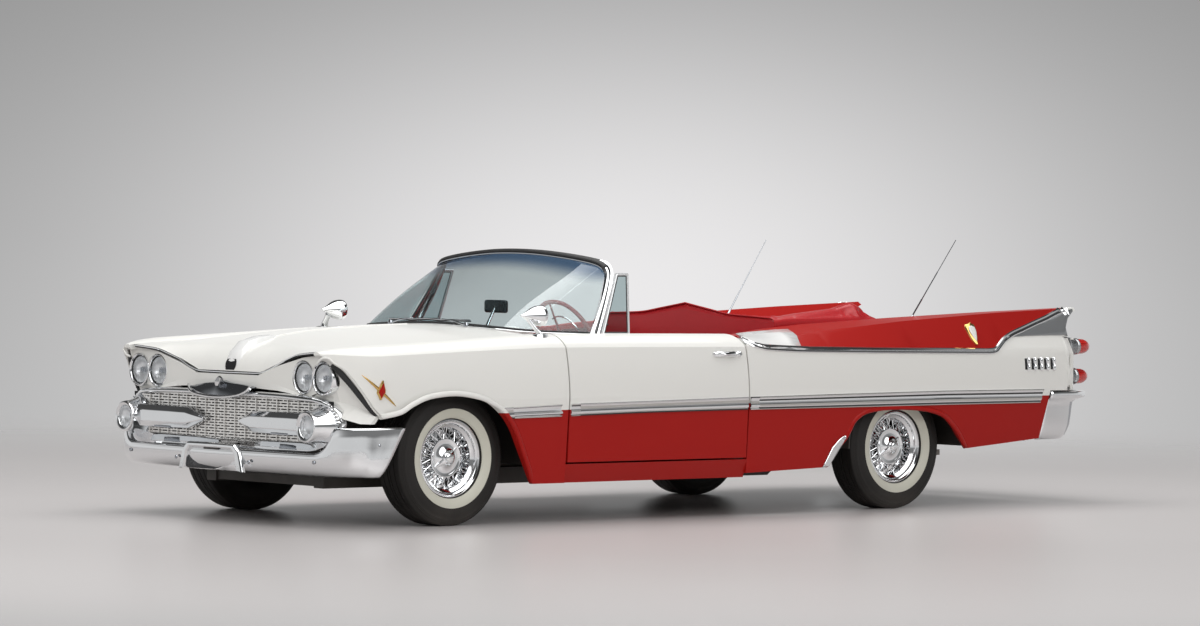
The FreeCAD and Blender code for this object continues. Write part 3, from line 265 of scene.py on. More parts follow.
def soft_lamp(name, place, target, length, width, power, mirrored=True):
    """A rectangular area lamp at a place, facing a target. An unmirrored one leaves no shape on glossy paint."""
    data = bpy.data.lights.new(name, "AREA")
    data.shape = "RECTANGLE"
    data.size, data.size_y = length, width
    data.energy = power
    data.color = (1, 0.995, 0.985)
    lamp = bpy.data.objects.new(name, data)
    facing = (Vector(target) - Vector(place)).to_track_quat("-Z", "Y")
    lamp.matrix_world = Matrix.Translation(place) @ facing.to_matrix().to_4x4()
    lamp.visible_glossy = mirrored
    bpy.context.scene.collection.objects.link(lamp)


soft_lamp("ceiling_lamp", (car_middle.x, 0.6, 4.6), (car_middle.x, 0, 0), 7.0, 2.6, 148)
soft_lamp("nose_lamp", (-7.5, -3.0, 3.2), (-2.0, 0, 0.6), 3.0, 2.4, 90, mirrored=False)
soft_lamp("side_lamp", (-1.5, -9.0, 3.4), (0.3, -0.5, 0.6), 8.0, 1.6, 168, mirrored=False)

# %% [markdown]
# Modelling tools. A skin is grown as a blacksmith draws out a sheet: a row of points is joined by edges, extruded and
# laid on the next row's places. A tube, a moulding and a folded cloth are all such skins. The other tools turn a
# profile about an axis, and finish a piece so that it rides on its body.

# %% Skins and turned shapes
def grow(bm, rows, closed=False):
    """A skin through rows of equally many places. Closed joins a row's two ends."""
    line = [bm.verts.new(place) for place in rows[0]]
    edges = [bm.edges.new(pair) for pair in zip(line, line[1:])]
    if closed:
        edges.append(bm.edges.new((line[-1], line[0])))
    for row in rows[1:]:
        drawn = bmesh.ops.extrude_edge_only(bm, edges=edges)["geom"]
        fresh = {v for v in drawn if isinstance(v, bmesh.types.BMVert)}
        line = [next(e.other_vert(v) for e in v.link_edges if e.other_vert(v) in fresh) for v in line]
        for vert, place in zip(line, row):
            vert.co = place
        pairs = list(zip(line, line[1:])) + ([(line[-1], line[0])] if closed else [])
        edges = [bm.edges.get(pair) for pair in pairs]
    return bm


def cap(bm):
    """Close every open end of a tube."""
    bmesh.ops.holes_fill(bm, edges=[e for e in bm.edges if e.is_boundary], sides=0)


def turned(profile, steps=64, bm=None):
    """Turn a profile of (radius, along) millimetres about Z, in a new bmesh unless one is given."""
    bm = bm or bmesh.new()
    line = [bm.verts.new((radius / 1000, 0, along / 1000)) for radius, along in profile]
    edges = [bm.edges.new(pair) for pair in zip(line, line[1:])]
    bmesh.ops.spin(bm, geom=line + edges, cent=(0, 0, 0), axis=(0, 0, 1), dvec=(0, 0, 0),
                   angle=math.tau, steps=steps, use_merge=True, use_duplicate=False)
    return bm


def smooth_line(places, count):
    """Places along a smooth line through a few points, evenly counted between them."""
    points = [Vector(p) for p in places]
    points = [2 * points[0] - points[1], *points, 2 * points[-1] - points[-2]]
    line = []
    for a, b, c, d in zip(points, points[1:], points[2:], points[3:]):
        for step in range(count):
            t = step / count
            line.append(0.5 * (2 * b + (c - a) * t + (2 * a - 5 * b + 4 * c - d) * t * t
                               + (3 * b - a - 3 * c + d) * t ** 3))
    return line + [points[-2]]


def with_ways(line, ring=False):
    """Each place of a line with the direction in which the line runs there. A ring's end joins its start."""
    last = len(line) - 1
    for index, place in enumerate(line):
        before = line[index - 1] if index or ring else place
        after = line[(index + 1) % (last + 1)] if index < last or ring else place
        yield place, (after - before).normalized()


def between(rows, at):
    """The values of a table's columns at any place, straight between its rows. The first column is the place."""
    if at <= rows[0][0]:
        return list(rows[0][1:])
    for low, high in zip(rows, rows[1:]):
        if at <= high[0]:
            share = (at - low[0]) / (high[0] - low[0])
            return [a + (b - a) * share for a, b in zip(low[1:], high[1:])]
    return list(rows[-1][1:])


# The slot of each finish. Any other finish is bright metal.
SLOT_OF = {finish: slot for slot, finishes in (
    ("tyre_rubber", "tyre_rubber black_rubber inner_black mirror_back dial_face"),
    ("white_paint", "white_enamel bright_white_panel two_tone_lip two_tone_fin"),
    ("red_vinyl", "seat_vinyl cover_vinyl pale_vinyl dash_pad_vinyl rim_plastic"),
    ("tinted_glass", "windscreen_glass vent_window_glass"), ("lamp_glass", "ribbed_lamp_glass"),
    ("red_lens", "red_lamp_glass"), ("red_paint", "red_enamel"), ("dash_paint", "dash_paint"),
    ("black_steel", "black_chassis_paint"),
) for finish in finishes.split()}


def with_modifier(piece, kind, **settings):
    """Add a modifier with its settings."""
    modifier = piece.modifiers.new(kind.lower(), kind)
    for key, value in settings.items():
        setattr(modifier, key, value)


def finished(name, bm, materials, body="body", slot=None, sharp=35, merge=1e-6, outward=True, wall=None,
             thick=None, offset=-1, replaces=None):
    """Make a piece from a bmesh, shaded smooth below a sharp angle. A slot is found from its first finish, not kept.

    Wall thickens the mesh itself and thick adds a modifier, both in millimetres."""
    bmesh.ops.remove_doubles(bm, verts=bm.verts, dist=merge)
    if outward:
        bmesh.ops.recalc_face_normals(bm, faces=bm.faces)
    if wall:
        bmesh.ops.solidify(bm, geom=list(bm.faces), thickness=wall / 1000)
    piece = object_of(name, bm)
    mesh = piece.data
    if "custom_normal" in mesh.attributes:
        mesh.attributes.remove(mesh.attributes["custom_normal"])
    materials = materials if isinstance(materials, list) else [materials]
    for material in materials:
        mesh.materials.append(material)
    mesh.shade_smooth()
    mesh.set_sharp_from_angle(angle=math.radians(sharp))
    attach(piece, body)
    slot = SLOT_OF.get(materials[0].name.split(".")[0], "chrome") if slot is None else slot
    if replaces:
        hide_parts(replaces)
    if thick:
        with_modifier(piece, "SOLIDIFY", thickness=thick / 1000, offset=offset)
    return piece


def grown(name, rows, materials, body="body", closed=False, capped=False, **settings):
    """A finished piece from one skin of rows. A closed skin is always capped."""
    bm = grow(bmesh.new(), rows, closed)
    if closed or capped:
        cap(bm)
    return finished(name, bm, materials, body, **settings)


def pointing(place, way):
    """A matrix that takes a shape to a place and points its own Z along a way."""
    return Matrix.Translation(place) @ Vector(way).to_track_quat("Z", "Y").to_matrix().to_4x4()


def added(bm, part, matrix):
    """Put a small bmesh into another one, at its place, and free it."""
    part.transform(matrix)
    mesh = bpy.data.meshes.new("part")
    part.to_mesh(mesh)
    part.free()
    bm.from_mesh(mesh)
    bpy.data.meshes.remove(mesh)


def rounded(bm, verts, offset, segments=2, profile=0.5):
    """Bevel every edge that meets some points."""
    return bmesh.ops.bevel(bm, geom=list({e for v in verts for e in v.link_edges}), affect="EDGES", offset=offset,
                           segments=segments, profile=profile, material=-1)


print("tools ready")

# %% [markdown]
# Real surfaces are never one flat colour: paint has a faint orange peel, chrome has smudges, vinyl has grain. Each
# such effect is one shader node group, built once and placed in each material with its own numbers.

# %% Shared effects
FLOAT, COLOUR, VECTOR = "NodeSocketFloat", "NodeSocketColor", "NodeSocketVector"


def new_group(name, inputs, outputs):
    """A node group with named sockets, as (name, kind, default) inputs and (name, kind) outputs."""
    group = bpy.data.node_groups.new(name, "ShaderNodeTree")
    for title, kind, default in inputs:
        socket = group.interface.new_socket(title, in_out="INPUT", socket_type=kind)
        if default is not None:
            socket.default_value = default
    for title, kind in outputs:
        group.interface.new_socket(title, in_out="OUTPUT", socket_type=kind)
    return group, node(group, "NodeGroupInput").outputs, node(group, "NodeGroupOutput")


def noise(tree, vector, scale, detail=3.0, rough=0.55):
    """Cloudy values between 0 and 1."""
    return node(tree, "ShaderNodeTexNoise", {"Vector": vector, "Scale": scale, "Detail": detail,
                                             "Roughness": rough}).outputs["Fac"]


def mixed(tree, factor, first, second):
    """A colour mix. First and second are colours or outputs."""
    return node(tree, "ShaderNodeMix", {"Factor": factor, 6: first, 7: second}, data_type="RGBA").outputs[2]


def axes(tree, vector):
    """The X, Y and Z of a vector."""
    return node(tree, "ShaderNodeSeparateXYZ", {0: vector}).outputs


clouding, gin, gout = new_group("clouding", [
    ("Vector", VECTOR, None), ("Scale", FLOAT, 4.0), ("Colour", COLOUR, None), ("Shade", COLOUR, None),
    ("Amount", FLOAT, 0.3), ("Roughness", FLOAT, 0.4), ("Spread", FLOAT, 0.1), ("Grain Scale", FLOAT, 400.0),
], [("Colour", COLOUR), ("Roughness", FLOAT), ("Height", FLOAT)])
broad = noise(clouding, gin["Vector"], gin["Scale"])
swing = sums(clouding, "MULTIPLY", sums(clouding, "SUBTRACT", broad, 0.5), gin["Spread"])
feed(clouding, gout, {
    "Colour": mixed(clouding, sums(clouding, "MULTIPLY", broad, gin["Amount"]), gin["Colour"], gin["Shade"]),
    "Roughness": sums(clouding, "ADD", gin["Roughness"], swing),
    "Height": noise(clouding, gin["Vector"], gin["Grain Scale"], 2.0),
})

dusting, gin, gout = new_group("dusting", [
    ("Vector", VECTOR, None), ("Colour", COLOUR, None), ("Dust", COLOUR, None), ("Low", FLOAT, 0.0),
    ("High", FLOAT, 0.5), ("Amount", FLOAT, 0.3),
], [("Colour", COLOUR), ("Mask", FLOAT)])
drop = fading(dusting, axes(dusting, gin["Vector"])["Z"], gin["Low"], gin["High"], 0.0, 1.0)
speckle = sums(dusting, "MULTIPLY", drop, noise(dusting, gin["Vector"], 9.0, 6.0))
mask = sums(dusting, "MULTIPLY", speckle, gin["Amount"], clamp=True)
feed(dusting, gout, {"Mask": mask, "Colour": mixed(dusting, mask, gin["Colour"], gin["Dust"])})

brushing, gin, gout = new_group("brushing", [
    ("Vector", VECTOR, None), ("Stretch", VECTOR, (3.0, 300.0, 300.0)), ("Contrast", FLOAT, 1.0),
], [("Shade", FLOAT), ("Height", FLOAT)])
lines = noise(brushing, vectors(brushing, "MULTIPLY", gin["Vector"], gin["Stretch"]), 1.0, 3.0, 0.7)
feed(brushing, gout, {"Height": lines, "Shade": sums(brushing, "MULTIPLY", lines, gin["Contrast"])})

hide_grain, gin, gout = new_group("hide_grain", [
    ("Vector", VECTOR, None), ("Scale", FLOAT, 260.0), ("Depth", FLOAT, 1.0),
], [("Height", FLOAT), ("Crease", FLOAT)])
# The crease output darkens the hollows between the grains: painted shade.
cells = node(hide_grain, "ShaderNodeTexVoronoi", {"Vector": gin["Vector"], "Scale": gin["Scale"]},
             feature="DISTANCE_TO_EDGE")
pebble = sums(hide_grain, "MINIMUM", sums(hide_grain, "MULTIPLY", cells.outputs["Distance"], 3.0), 0.5)
feed(hide_grain, gout, {"Height": sums(hide_grain, "MULTIPLY", pebble, gin["Depth"]),
                        "Crease": sums(hide_grain, "SUBTRACT", 0.5, pebble)})
print("shared effects:", [g.name for g in bpy.data.node_groups])

# %% [markdown]
# One function builds most finishes: cloudy colour and gloss, a fine bump, and road dust low down. What is the same
# all over the surface is set on the shader's own sockets.

# %% Finish builder
def effect(tree, group, inputs):
    """The outputs of a shared effect that is placed in a material."""
    return node(tree, "ShaderNodeGroup", inputs, node_tree=group).outputs


def bumped(tree, shader, height, strength, distance):
    """Let a height raise a shader's surface."""
    relief = node(tree, "ShaderNodeBump", {"Height": height, "Strength": strength, "Distance": distance})
    feed(tree, shader, {"Normal": relief.outputs[0]})


def finish_of(name, colour, shade, amount=0.3, rough=0.4, spread=0.08, scale=3.0, grain=500.0, bump=0.02, metal=0.0,
              coat=0.0, coat_rough=0.03, dust=0.0, dust_top=0.5, sheen=0.0, specular=0.5):
    """A finish with its tree, its shader, its object place and its cloudy colour."""
    material, tree, shader = new_material(name)
    place = object_place(tree)
    cloud = effect(tree, clouding, {"Vector": place, "Scale": scale, "Amount": amount, "Roughness": rough,
                                    "Spread": spread, "Grain Scale": grain, "Colour": colour, "Shade": shade})
    tint = cloud["Colour"]
    if dust:
        tint = effect(tree, dusting, {"Vector": place, "Colour": tint, "Dust": (0.33, 0.29, 0.25), "High": dust_top,
                                      "Amount": dust})["Colour"]
    feed(tree, shader, {"Metallic": metal, "Coat Weight": coat, "Coat Roughness": coat_rough, "Sheen Weight": sheen,
                        "Specular IOR Level": specular, "Base Color": tint, "Roughness": cloud["Roughness"]})
    bumped(tree, shader, cloud["Height"], bump, 0.002)
    return material, tree, shader, place, cloud["Colour"]


def plain_finish(name, *args, **settings):
    """Only the material of a finish."""
    return finish_of(name, *args, **settings)[0]


WHITE, WHITE_SHADE = (0.77, 0.765, 0.735), (0.735, 0.73, 0.70)
RED, RED_SHADE = (0.36, 0.010, 0.007), (0.29, 0.008, 0.009)
white_paint = plain_finish("white_enamel", WHITE, WHITE_SHADE, rough=0.32, coat=0.35, bump=0.015, grain=220, dust=0.10,
                           dust_top=0.42, specular=0.25)
red_paint = plain_finish("red_enamel", RED, RED_SHADE, rough=0.30, coat=0.15, bump=0.015, grain=220, dust=0.05,
                         dust_top=0.38, specular=0.10)
chrome = plain_finish("bright_chrome", (0.86, 0.87, 0.88), (0.74, 0.76, 0.79), amount=0.25, rough=0.055, spread=0.05,
                      scale=9, grain=60, bump=0.01, metal=1.0)
dark_chrome = plain_finish("shaded_chrome", (0.45, 0.47, 0.50), (0.30, 0.32, 0.35), rough=0.10, spread=0.06, scale=9,
                           grain=80, metal=1.0)
black_rubber = plain_finish("black_rubber", (0.014, 0.014, 0.015), (0.03, 0.03, 0.03), amount=0.6, rough=0.55,
                            spread=0.15, scale=12, grain=350, bump=0.12)
black_steel = plain_finish("black_chassis_paint", (0.018, 0.017, 0.016), (0.035, 0.030, 0.026), amount=0.8, rough=0.5,
                           spread=0.3, scale=6, grain=140, bump=0.25, dust=0.35, dust_top=0.45)
raw_steel = plain_finish("weathered_steel", (0.28, 0.27, 0.26), (0.16, 0.12, 0.09), amount=0.8, rough=0.42, spread=0.3,
                         scale=7, grain=160, bump=0.2, metal=0.9, dust=0.25, dust_top=0.4)
print("finishes so far:", len(bpy.data.materials))

# %% [markdown]
# A tyre is one profile turned about the axle: bead, whitewall band, shoulder ribs and a tread with four grooves. It
# could be a bent strip, but a turned profile keeps every ring true. A face's distance from the axle makes it white.

# %% Tyre finishes
tread_rubber = plain_finish("tyre_rubber", (0.010, 0.009, 0.0085), (0.024, 0.021, 0.019), amount=0.7, rough=0.62,
                            spread=0.16, scale=7, grain=260, bump=0.10, dust=0.16, dust_top=0.14, specular=0.35)
whitewall = plain_finish("whitewall_rubber", (0.66, 0.655, 0.57), (0.54, 0.53, 0.44), amount=0.6, rough=0.45,
                         spread=0.12, scale=6, grain=300, bump=0.06, dust=0.22, dust_top=0.5)

# %% Wheel places
EVERY_WHEEL = []
for end in ("front", "rear"):
    for side, hand in SIDES:
        low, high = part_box(f"{end}_{hand}_tyre")
        turn = Matrix(((1, 0, 0), (0, 0, side), (0, -side, 0))).to_4x4()
        EVERY_WHEEL.append((f"{end}_{hand}", Matrix.Translation((low + high) / 2) @ turn))


def on_every_wheel(part, shape, materials, replaced, **settings):
    """A piece of the same shape on each wheel, in place of a CAD node."""
    mesh = bpy.data.meshes.new(f"{part}_shape")
    shape.to_mesh(mesh)
    shape.free()
    for name, place in EVERY_WHEEL:
        bm = bmesh.new()
        bm.from_mesh(mesh)
        bm.transform(place)
        finished(f"{name}_{part}", bm, materials, f"{name}_wheel", replaces=f"{name}_{replaced}", **settings)
    print(part, "faces:", len(mesh.polygons))


# %% Tyre
# Half of the section, from the outboard bead to the middle of the tread: radius, distance from the middle plane.
TYRE_SECTION = [
    (181, 66), (188, 72), (193, 80), (196, 85), (198, 88.5), (206, 93), (222, 98), (240, 101.6), (243, 101.8),
    (244, 100.6), (252, 101.5), (268, 101), (284, 98), (298, 92.5), (300, 92.8), (302, 91), (305, 91), (307, 89.5),
    (309, 88), (311, 88.2), (313, 86.4), (320, 82), (325, 79), (329, 75.5), (330, 72), (330, 60), (330, 47), (323, 46),
    (323, 42), (330, 41), (330, 26), (330, 12), (323, 11), (323, 7), (330, 6), (330, 0),
]
WHITE_LOW, WHITE_HIGH = 0.196, 0.2435
inner_half = [(radius, -along) for radius, along in reversed(TYRE_SECTION[:-1])]
bm = turned(TYRE_SECTION + inner_half + [(178, -60), (178, 60), TYRE_SECTION[0]], steps=96)
for face in bm.faces:
    middle = face.calc_center_median()
    face.material_index = int(WHITE_LOW < math.hypot(middle.x, middle.y) < WHITE_HIGH and middle.z > 0.08)
on_every_wheel("whitewall_tyre", bm, [tread_rubber, whitewall], "tyre", sharp=40)

# %% [markdown]
# The wire wheel has a rim with a stepped lip, two crossed rows of thin spokes that pull on a dished hub, and a
# two-eared nut. Spokes have five sides, since only the pattern of seventy-two of them can be seen.

# %% Wire wheel
WHEEL_RIM = [
    (190, 70), (192, 74), (190, 77.5), (186, 78), (183, 75), (180, 70), (176, 68), (172, 67), (169, 63), (168, 56),
    (165, 52), (162, 50), (160, 45), (159, 30), (157, 22), (154, 10), (153, -8), (158, -30), (172, -52), (181, -64),
    (190, -70), (186, -76), (178, -68), (166, -54), (152, -32), (147, -8), (148, 12), (151, 26), (153, 44), (152, 47),
]
HUB = [
    (0, 82), (14, 82), (20, 80.5), (24, 76), (25, 70), (30, 67), (33, 62), (33, 55), (40, 50), (56, 44), (72, 42),
    (84, 43), (91, 46), (95, 45), (96, 41), (93, 36), (84, 30), (66, 24), (58, 10), (58, -20), (70, -26), (70, -34),
    (140, -40), (141, -60), (140, -90), (20, -92),
]
# Rows of spokes: pairs, hub radius, hub place along the axle, rim radius, rim place, lead in degrees.
SPOKE_ROWS = [(22, 90, 37, 155, 20, 10.5), (14, 62, -18, 150, -2, 21)]
SPOKE_RADIUS = 0.0024
wheel = turned(HUB, bm=turned(WHEEL_RIM + [WHEEL_RIM[0]], 80))


def bar(start, end, centre, thick, thin, length, closed):
    """A five-sided bar along the way from start to end."""
    bmesh.ops.create_cone(wheel, cap_ends=closed, segments=5, radius1=SPOKE_RADIUS * thick,
                          radius2=SPOKE_RADIUS * thin, depth=length, matrix=pointing(centre, end - start))


def around(radius, degrees, along):
    """A place in metres at a radius and an angle about the axle."""
    turn = math.radians(degrees)
    return Vector((radius * math.cos(turn), radius * math.sin(turn), along)) / 1000


for pairs, hub_radius, hub_along, rim_radius, rim_along, lead in SPOKE_ROWS:
    for index in range(pairs):
        for lean in (-1, 1):
            first = 360 * index / pairs + lean * 2.2
            start = around(hub_radius, first, hub_along + lean * 1.5)
            end = around(rim_radius, first + lean * lead, rim_along + lean * 3)
            bar(start, end, (start + end) / 2, 1, 1, (end - start).length, False)
            # A thicker nipple at the rim.
            bar(start, end, end - (end - start).normalized() * 0.006, 1.9, 1.5, 0.010, True)
# The nut's two ears, drawn out from a small bar each, then rounded.
for half_turn in (0, math.pi):
    ear = bmesh.ops.create_cube(wheel, size=1.0)["verts"]
    bmesh.ops.scale(wheel, vec=(0.064, 0.026, 0.016), verts=ear)
    bmesh.ops.translate(wheel, vec=(0.052, 0, 0.064), verts=ear)
    tips = [v for v in ear if v.co.x > 0.06]
    bmesh.ops.scale(wheel, vec=(1, 0.42, 0.55), verts=tips)
    bmesh.ops.translate(wheel, vec=(0, 0, 0.004), verts=tips)
    made = rounded(wheel, ear, 0.0042, 3)
    bmesh.ops.rotate(wheel, cent=(0, 0, 0), matrix=Matrix.Rotation(half_turn + math.radians(35), 3, "Z"),
                     verts=list({v for f in made["faces"] for v in f.verts} | {v for v in ear if v.is_valid}))
bmesh.ops.recalc_face_normals(wheel, faces=wheel.faces)
on_every_wheel("wire_wheel", wheel, [chrome, black_steel], "wheel", sharp=38)

# %% [markdown]
# The body panels keep the shape they were built with. Their paint changes tone along the side mouldings: a curve
# gives the border's height at every station, and the paint compares it with the point's own height.

# %% Two-tone paint
# The height of the middle of the side spear, and of the line under the fin.
SPEAR_LINE = [(180, 551), (630, 563), (1179, 572), (2596, 588), (3349, 593), (4150, 595)]
FIN_LINE = [(1868, 921), (1905, 905), (1940, 884), (2040, 864), (2265, 853), (2780, 846), (3673, 839), (3740, 842),
            (3838, 899), (3995, 950), (4234, 1015), (4330, 1052), (4460, 1085)]
# The curves' own range of heights.
CURVE_LOW, CURVE_HIGH = 500, 1100


def border(tree, along, line):
    """The height in metres of a line of (station, z) at a place along the car, from a curve node."""
    first, last = line[0][0], line[-1][0]
    share = node(tree, "ShaderNodeMapRange", {"Value": along, "From Min": spot(first, 0, 0).x,
                                              "From Max": spot(last, 0, 0).x})
    curve = node(tree, "ShaderNodeFloatCurve")
    points = curve.mapping.curves[0].points
    while len(points) < len(line):
        points.new(0.5, 0.5)
    rise = CURVE_HIGH - CURVE_LOW
    for point, (station, z) in zip(points, line):
        point.location = (station - first) / (last - first), (z - CURVE_LOW) / rise
        point.handle_type = "VECTOR"
    curve.mapping.update()
    feed(tree, curve, {"Value": share.outputs[0]})
    return sums(tree, "ADD", sums(tree, "MULTIPLY", curve.outputs[0], rise / 1000), CURVE_LOW / 1000)


def two_tone(name, fin=False):
    """White enamel that is red below the spear's line and, for a fin, above the fin's line."""
    material, tree, shader, place, white = finish_of(
        name, WHITE, WHITE_SHADE, rough=0.32, coat=0.25, bump=0.015, grain=220, specular=0.10)
    along, across, height = axes(tree, place)
    under = sums(tree, "LESS_THAN", height, border(tree, along, SPEAR_LINE))
    red = sums(tree, "MULTIPLY", under, sums(tree, "GREATER_THAN", along, spot(190, 0, 0).x))
    if fin:
        over = sums(tree, "GREATER_THAN", height, border(tree, along, FIN_LINE))
        # The fin's inner wall, which faces the middle of the car, is red all over.
        facing = axes(tree, node(tree, "ShaderNodeNewGeometry").outputs["Normal"])
        inward = sums(tree, "LESS_THAN", sums(tree, "MULTIPLY", facing["Y"], across), 0.0)
        inward = sums(tree, "MULTIPLY", inward, sums(tree, "GREATER_THAN", height, 0.90))
        red = sums(tree, "MAXIMUM", red, sums(tree, "MAXIMUM", over, inward))
    other = effect(tree, clouding, {"Vector": place, "Scale": 3.0, "Colour": RED, "Shade": RED_SHADE})["Colour"]
    feed(tree, shader, {"Base Color": mixed(tree, red, white, other),
                        "Coat Weight": sums(tree, "SUBTRACT", 0.25, sums(tree, "MULTIPLY", red, 0.15))})
    return material


side_paint = two_tone("two_tone_side")
fin_paint = two_tone("two_tone_fin", fin=True)

# %% Finishes of the CAD nodes
DRESSES = [
    (side_paint, "front_left_fender front_right_fender left_door right_door"),
    (fin_paint, "left_quarter right_quarter"),
    (white_paint, "hood headlamp_panel cowl tail_panel"),
    (red_paint, "rockers trunk_lid"),
    (chrome, "front_bumper rear_bumper grille_surround grille windshield_frame mirrors antennas"),
    (black_steel, "floor_pan firewall wheel_housings frame_rails engine fuel_tank"),
    (raw_steel, "front_suspension rear_axle exhaust left_knuckle right_knuckle"),
]


def dress(name, material):
    """Give a CAD node its finish."""
    slots = nodes[name].data.materials
    if not slots:
        slots.append(material)
    for index in range(len(slots)):
        slots[index] = material


for material, names in DRESSES:
    for name in names.split():
        dress(name, material)
print("dressed nodes:", sum(1 for o in nodes.values() if o.data.materials))

# %% [markdown]
# Trim on the side has to lie on the body's own skin. A ray is sent in from beside the car, and the trim sits where it
# strikes the panel. A straight bar would not stay a few millimetres proud on a side that bows.

# %% Finding the body's skin
from mathutils.bvhtree import BVHTree

skins = {}


def struck(name, start, way, nearest):
    """Where a ray strikes a node, and the skin's direction there. A ray that misses takes the nearest place."""
    if name not in skins:
        mesh = nodes[name].data
        skins[name] = BVHTree.FromPolygons([v.co for v in mesh.vertices], [p.vertices for p in mesh.polygons])
    hit, normal = skins[name].ray_cast(start, way)[:2]
    if hit is None:
        hit, normal = skins[name].find_nearest(nearest)[0], -way
    return hit, normal


def on_side(name, side, station, z, lift=0.0):
    """The place on a node's outer side at a station and height, lifted outward by millimetres."""
    hit, normal = struck(name, spot(station, side * 1400, z), Vector((0, -side, 0)), spot(station, side * 960, z))
    if normal.y * side < 0:
        normal = -normal
    return hit + normal * lift / 1000


def on_top(name, station, y, lift=0.0):
    """The place on a node's upper side at a station and y, lifted upward by millimetres."""
    hit = struck(name, spot(station, y, 1500), Vector((0, 0, -1)), spot(station, y, 950))[0]
    return hit + Vector((0, 0, lift / 1000))


print("door skin at the handle:", [round(v, 4) for v in on_side("left_door", -1, 1700, 820)])

# %% [markdown]
# The side spear runs from the front arch to the rear bumper: a brushed, slightly hollow band, a bright bead, a dark
# groove and a thin foot. It is split at the door's gaps, so that its middle part opens with the door.

# %% Spear finish
spear_metal, tree, shader, place, cloudy = finish_of(
    "brushed_spear", (0.72, 0.70, 0.67), (0.50, 0.49, 0.47), amount=0.5, rough=0.30, spread=0.10, scale=2.0,
    grain=40, bump=0.0, metal=0.85)
brush = effect(tree, brushing, {"Vector": place, "Stretch": (1.2, 60.0, 420.0)})["Shade"]
feed(tree, shader, {"Base Color": mixed(tree, sums(tree, "MULTIPLY", brush, 0.55), cloudy, (0.34, 0.33, 0.32))})
groove_black = plain_finish("groove_black", (0.02, 0.02, 0.02), (0.05, 0.05, 0.05), rough=0.6, grain=200, bump=0.05)

# %% Spear
# Lower and upper edge: station, z.
SPEAR_LOW = [(200, 524), (630, 531), (1179, 542), (1874, 548), (2596, 551), (3351, 555), (4140, 557)]
SPEAR_HIGH = [(200, 577), (630, 592), (1179, 601), (1874, 613), (2596, 622), (3349, 630), (4140, 630)]
# Across the strip from foot to top: share of the height, lift, finish.
SPEAR_SECTION = [
    (0.0, -2, 1), (0.0, 6.5, 1), (0.05, 7.5, 1), (0.10, 6, 1), (0.11, 2, 2), (0.16, 2, 2), (0.17, 6, 1),
    (0.24, 8.5, 1), (0.32, 9, 1), (0.40, 8, 1), (0.44, 5.5, 0), (0.54, 4.2, 0), (0.66, 3.8, 0), (0.78, 4.4, 0),
    (0.88, 6, 0), (0.92, 8, 1), (0.97, 8, 1), (1.0, 6, 1), (1.0, -2, 1),
]
SPEAR_STEP = 60


def spear(name, skin, side, body, start, end, lean):
    """A part of the spear between two stations. Lean slants its two ends."""
    count = int((end - start) / SPEAR_STEP)
    rows = []
    for index in range(count + 1):
        share = index / count
        station = start + (end - start) * share
        low_z, high_z = between(SPEAR_LOW, station)[0], between(SPEAR_HIGH, station)[0]
        slant = lean[0] * (1 - share) ** 8 + lean[1] * share ** 8
        rows.append([on_side(skin, side, station + slant * (1 - part), low_z + (high_z - low_z) * part, lift)
                     for part, lift, finish in SPEAR_SECTION])
    bm = grow(bmesh.new(), rows)
    bm.faces.ensure_lookup_table()
    for band, upper in enumerate(SPEAR_SECTION[1:]):
        for index in range(count):
            bm.faces[index * (len(SPEAR_SECTION) - 1) + band].material_index = upper[2]
    grow(bm, [[row[-1], row[0]] for row in rows])
    bmesh.ops.remove_doubles(bm, verts=bm.verts, dist=2e-5)
    cap(bm)
    finished(name, bm, [spear_metal, chrome, groove_black], body, sharp=30)


for side, hand in SIDES:
    spear(f"{hand}_fender_spear", f"front_{hand}_fender", side, "body", 222, 651, (50, 0))
    spear(f"{hand}_door_spear", f"{hand}_door", side, f"{hand}_door", 663, 1874, (0, 0))
    spear(f"{hand}_quarter_spear", f"{hand}_quarter", side, "body", 1892, 4112, (0, -24))

# %% [markdown]
# A thin double moulding runs along the foot of the fin and sweeps up to its tip. It is steep at both ends, so it is a
# small section drawn along a line, not a strip between two heights.

# %% Fin moulding
FIN_MOULDING = [
    (1872, 921), (1884, 912), (1906, 898), (1940, 882), (1990, 869), (2049, 862), (2265, 853), (2500, 850),
    (2780, 846), (3200, 842), (3600, 838), (3700, 838), (3745, 846), (3790, 872), (3838, 899), (3910, 927),
    (3995, 950), (4110, 982), (4234, 1015), (4330, 1045), (4420, 1066),
]
# Its section: across, lift.
MOULDING_SECTION = [(-15, -2), (-15, 4), (-11, 8), (-5, 7), (-2.5, 2), (-0.5, 2), (2, 8), (8, 10), (14, 6), (14, -2)]
for side, hand in SIDES:
    rows = []
    for point, along in with_ways(smooth_line([(station, 0, z) for station, z in FIN_MOULDING], 3)):
        rows.append([on_side(f"{hand}_quarter", side, point.x - along.z * u, point.z + along.x * u, lift)
                     for u, lift in MOULDING_SECTION])
    grown(f"{hand}_fin_moulding", rows, chrome, closed=True, sharp=30)

# %% [markdown]
# Two thin plates finish the fin: a bright white one in front, and a brushed grey one behind the moulding's sweep.

# %% Fin plates
front_white = plain_finish("bright_white_panel", (0.86, 0.86, 0.85), (0.78, 0.79, 0.80), rough=0.22, coat=1.0,
                           bump=0.01)
cap_metal, tree, shader, place, cloudy = finish_of(
    "brushed_fin_cap", (0.40, 0.41, 0.42), (0.26, 0.27, 0.28), amount=0.7, rough=0.34, spread=0.1, scale=6, grain=90,
    bump=0.0, metal=0.9)
brush = effect(tree, brushing, {"Vector": place, "Stretch": (6.0, 60.0, 260.0)})["Height"]
bumped(tree, shader, brush, 0.10, 0.001)


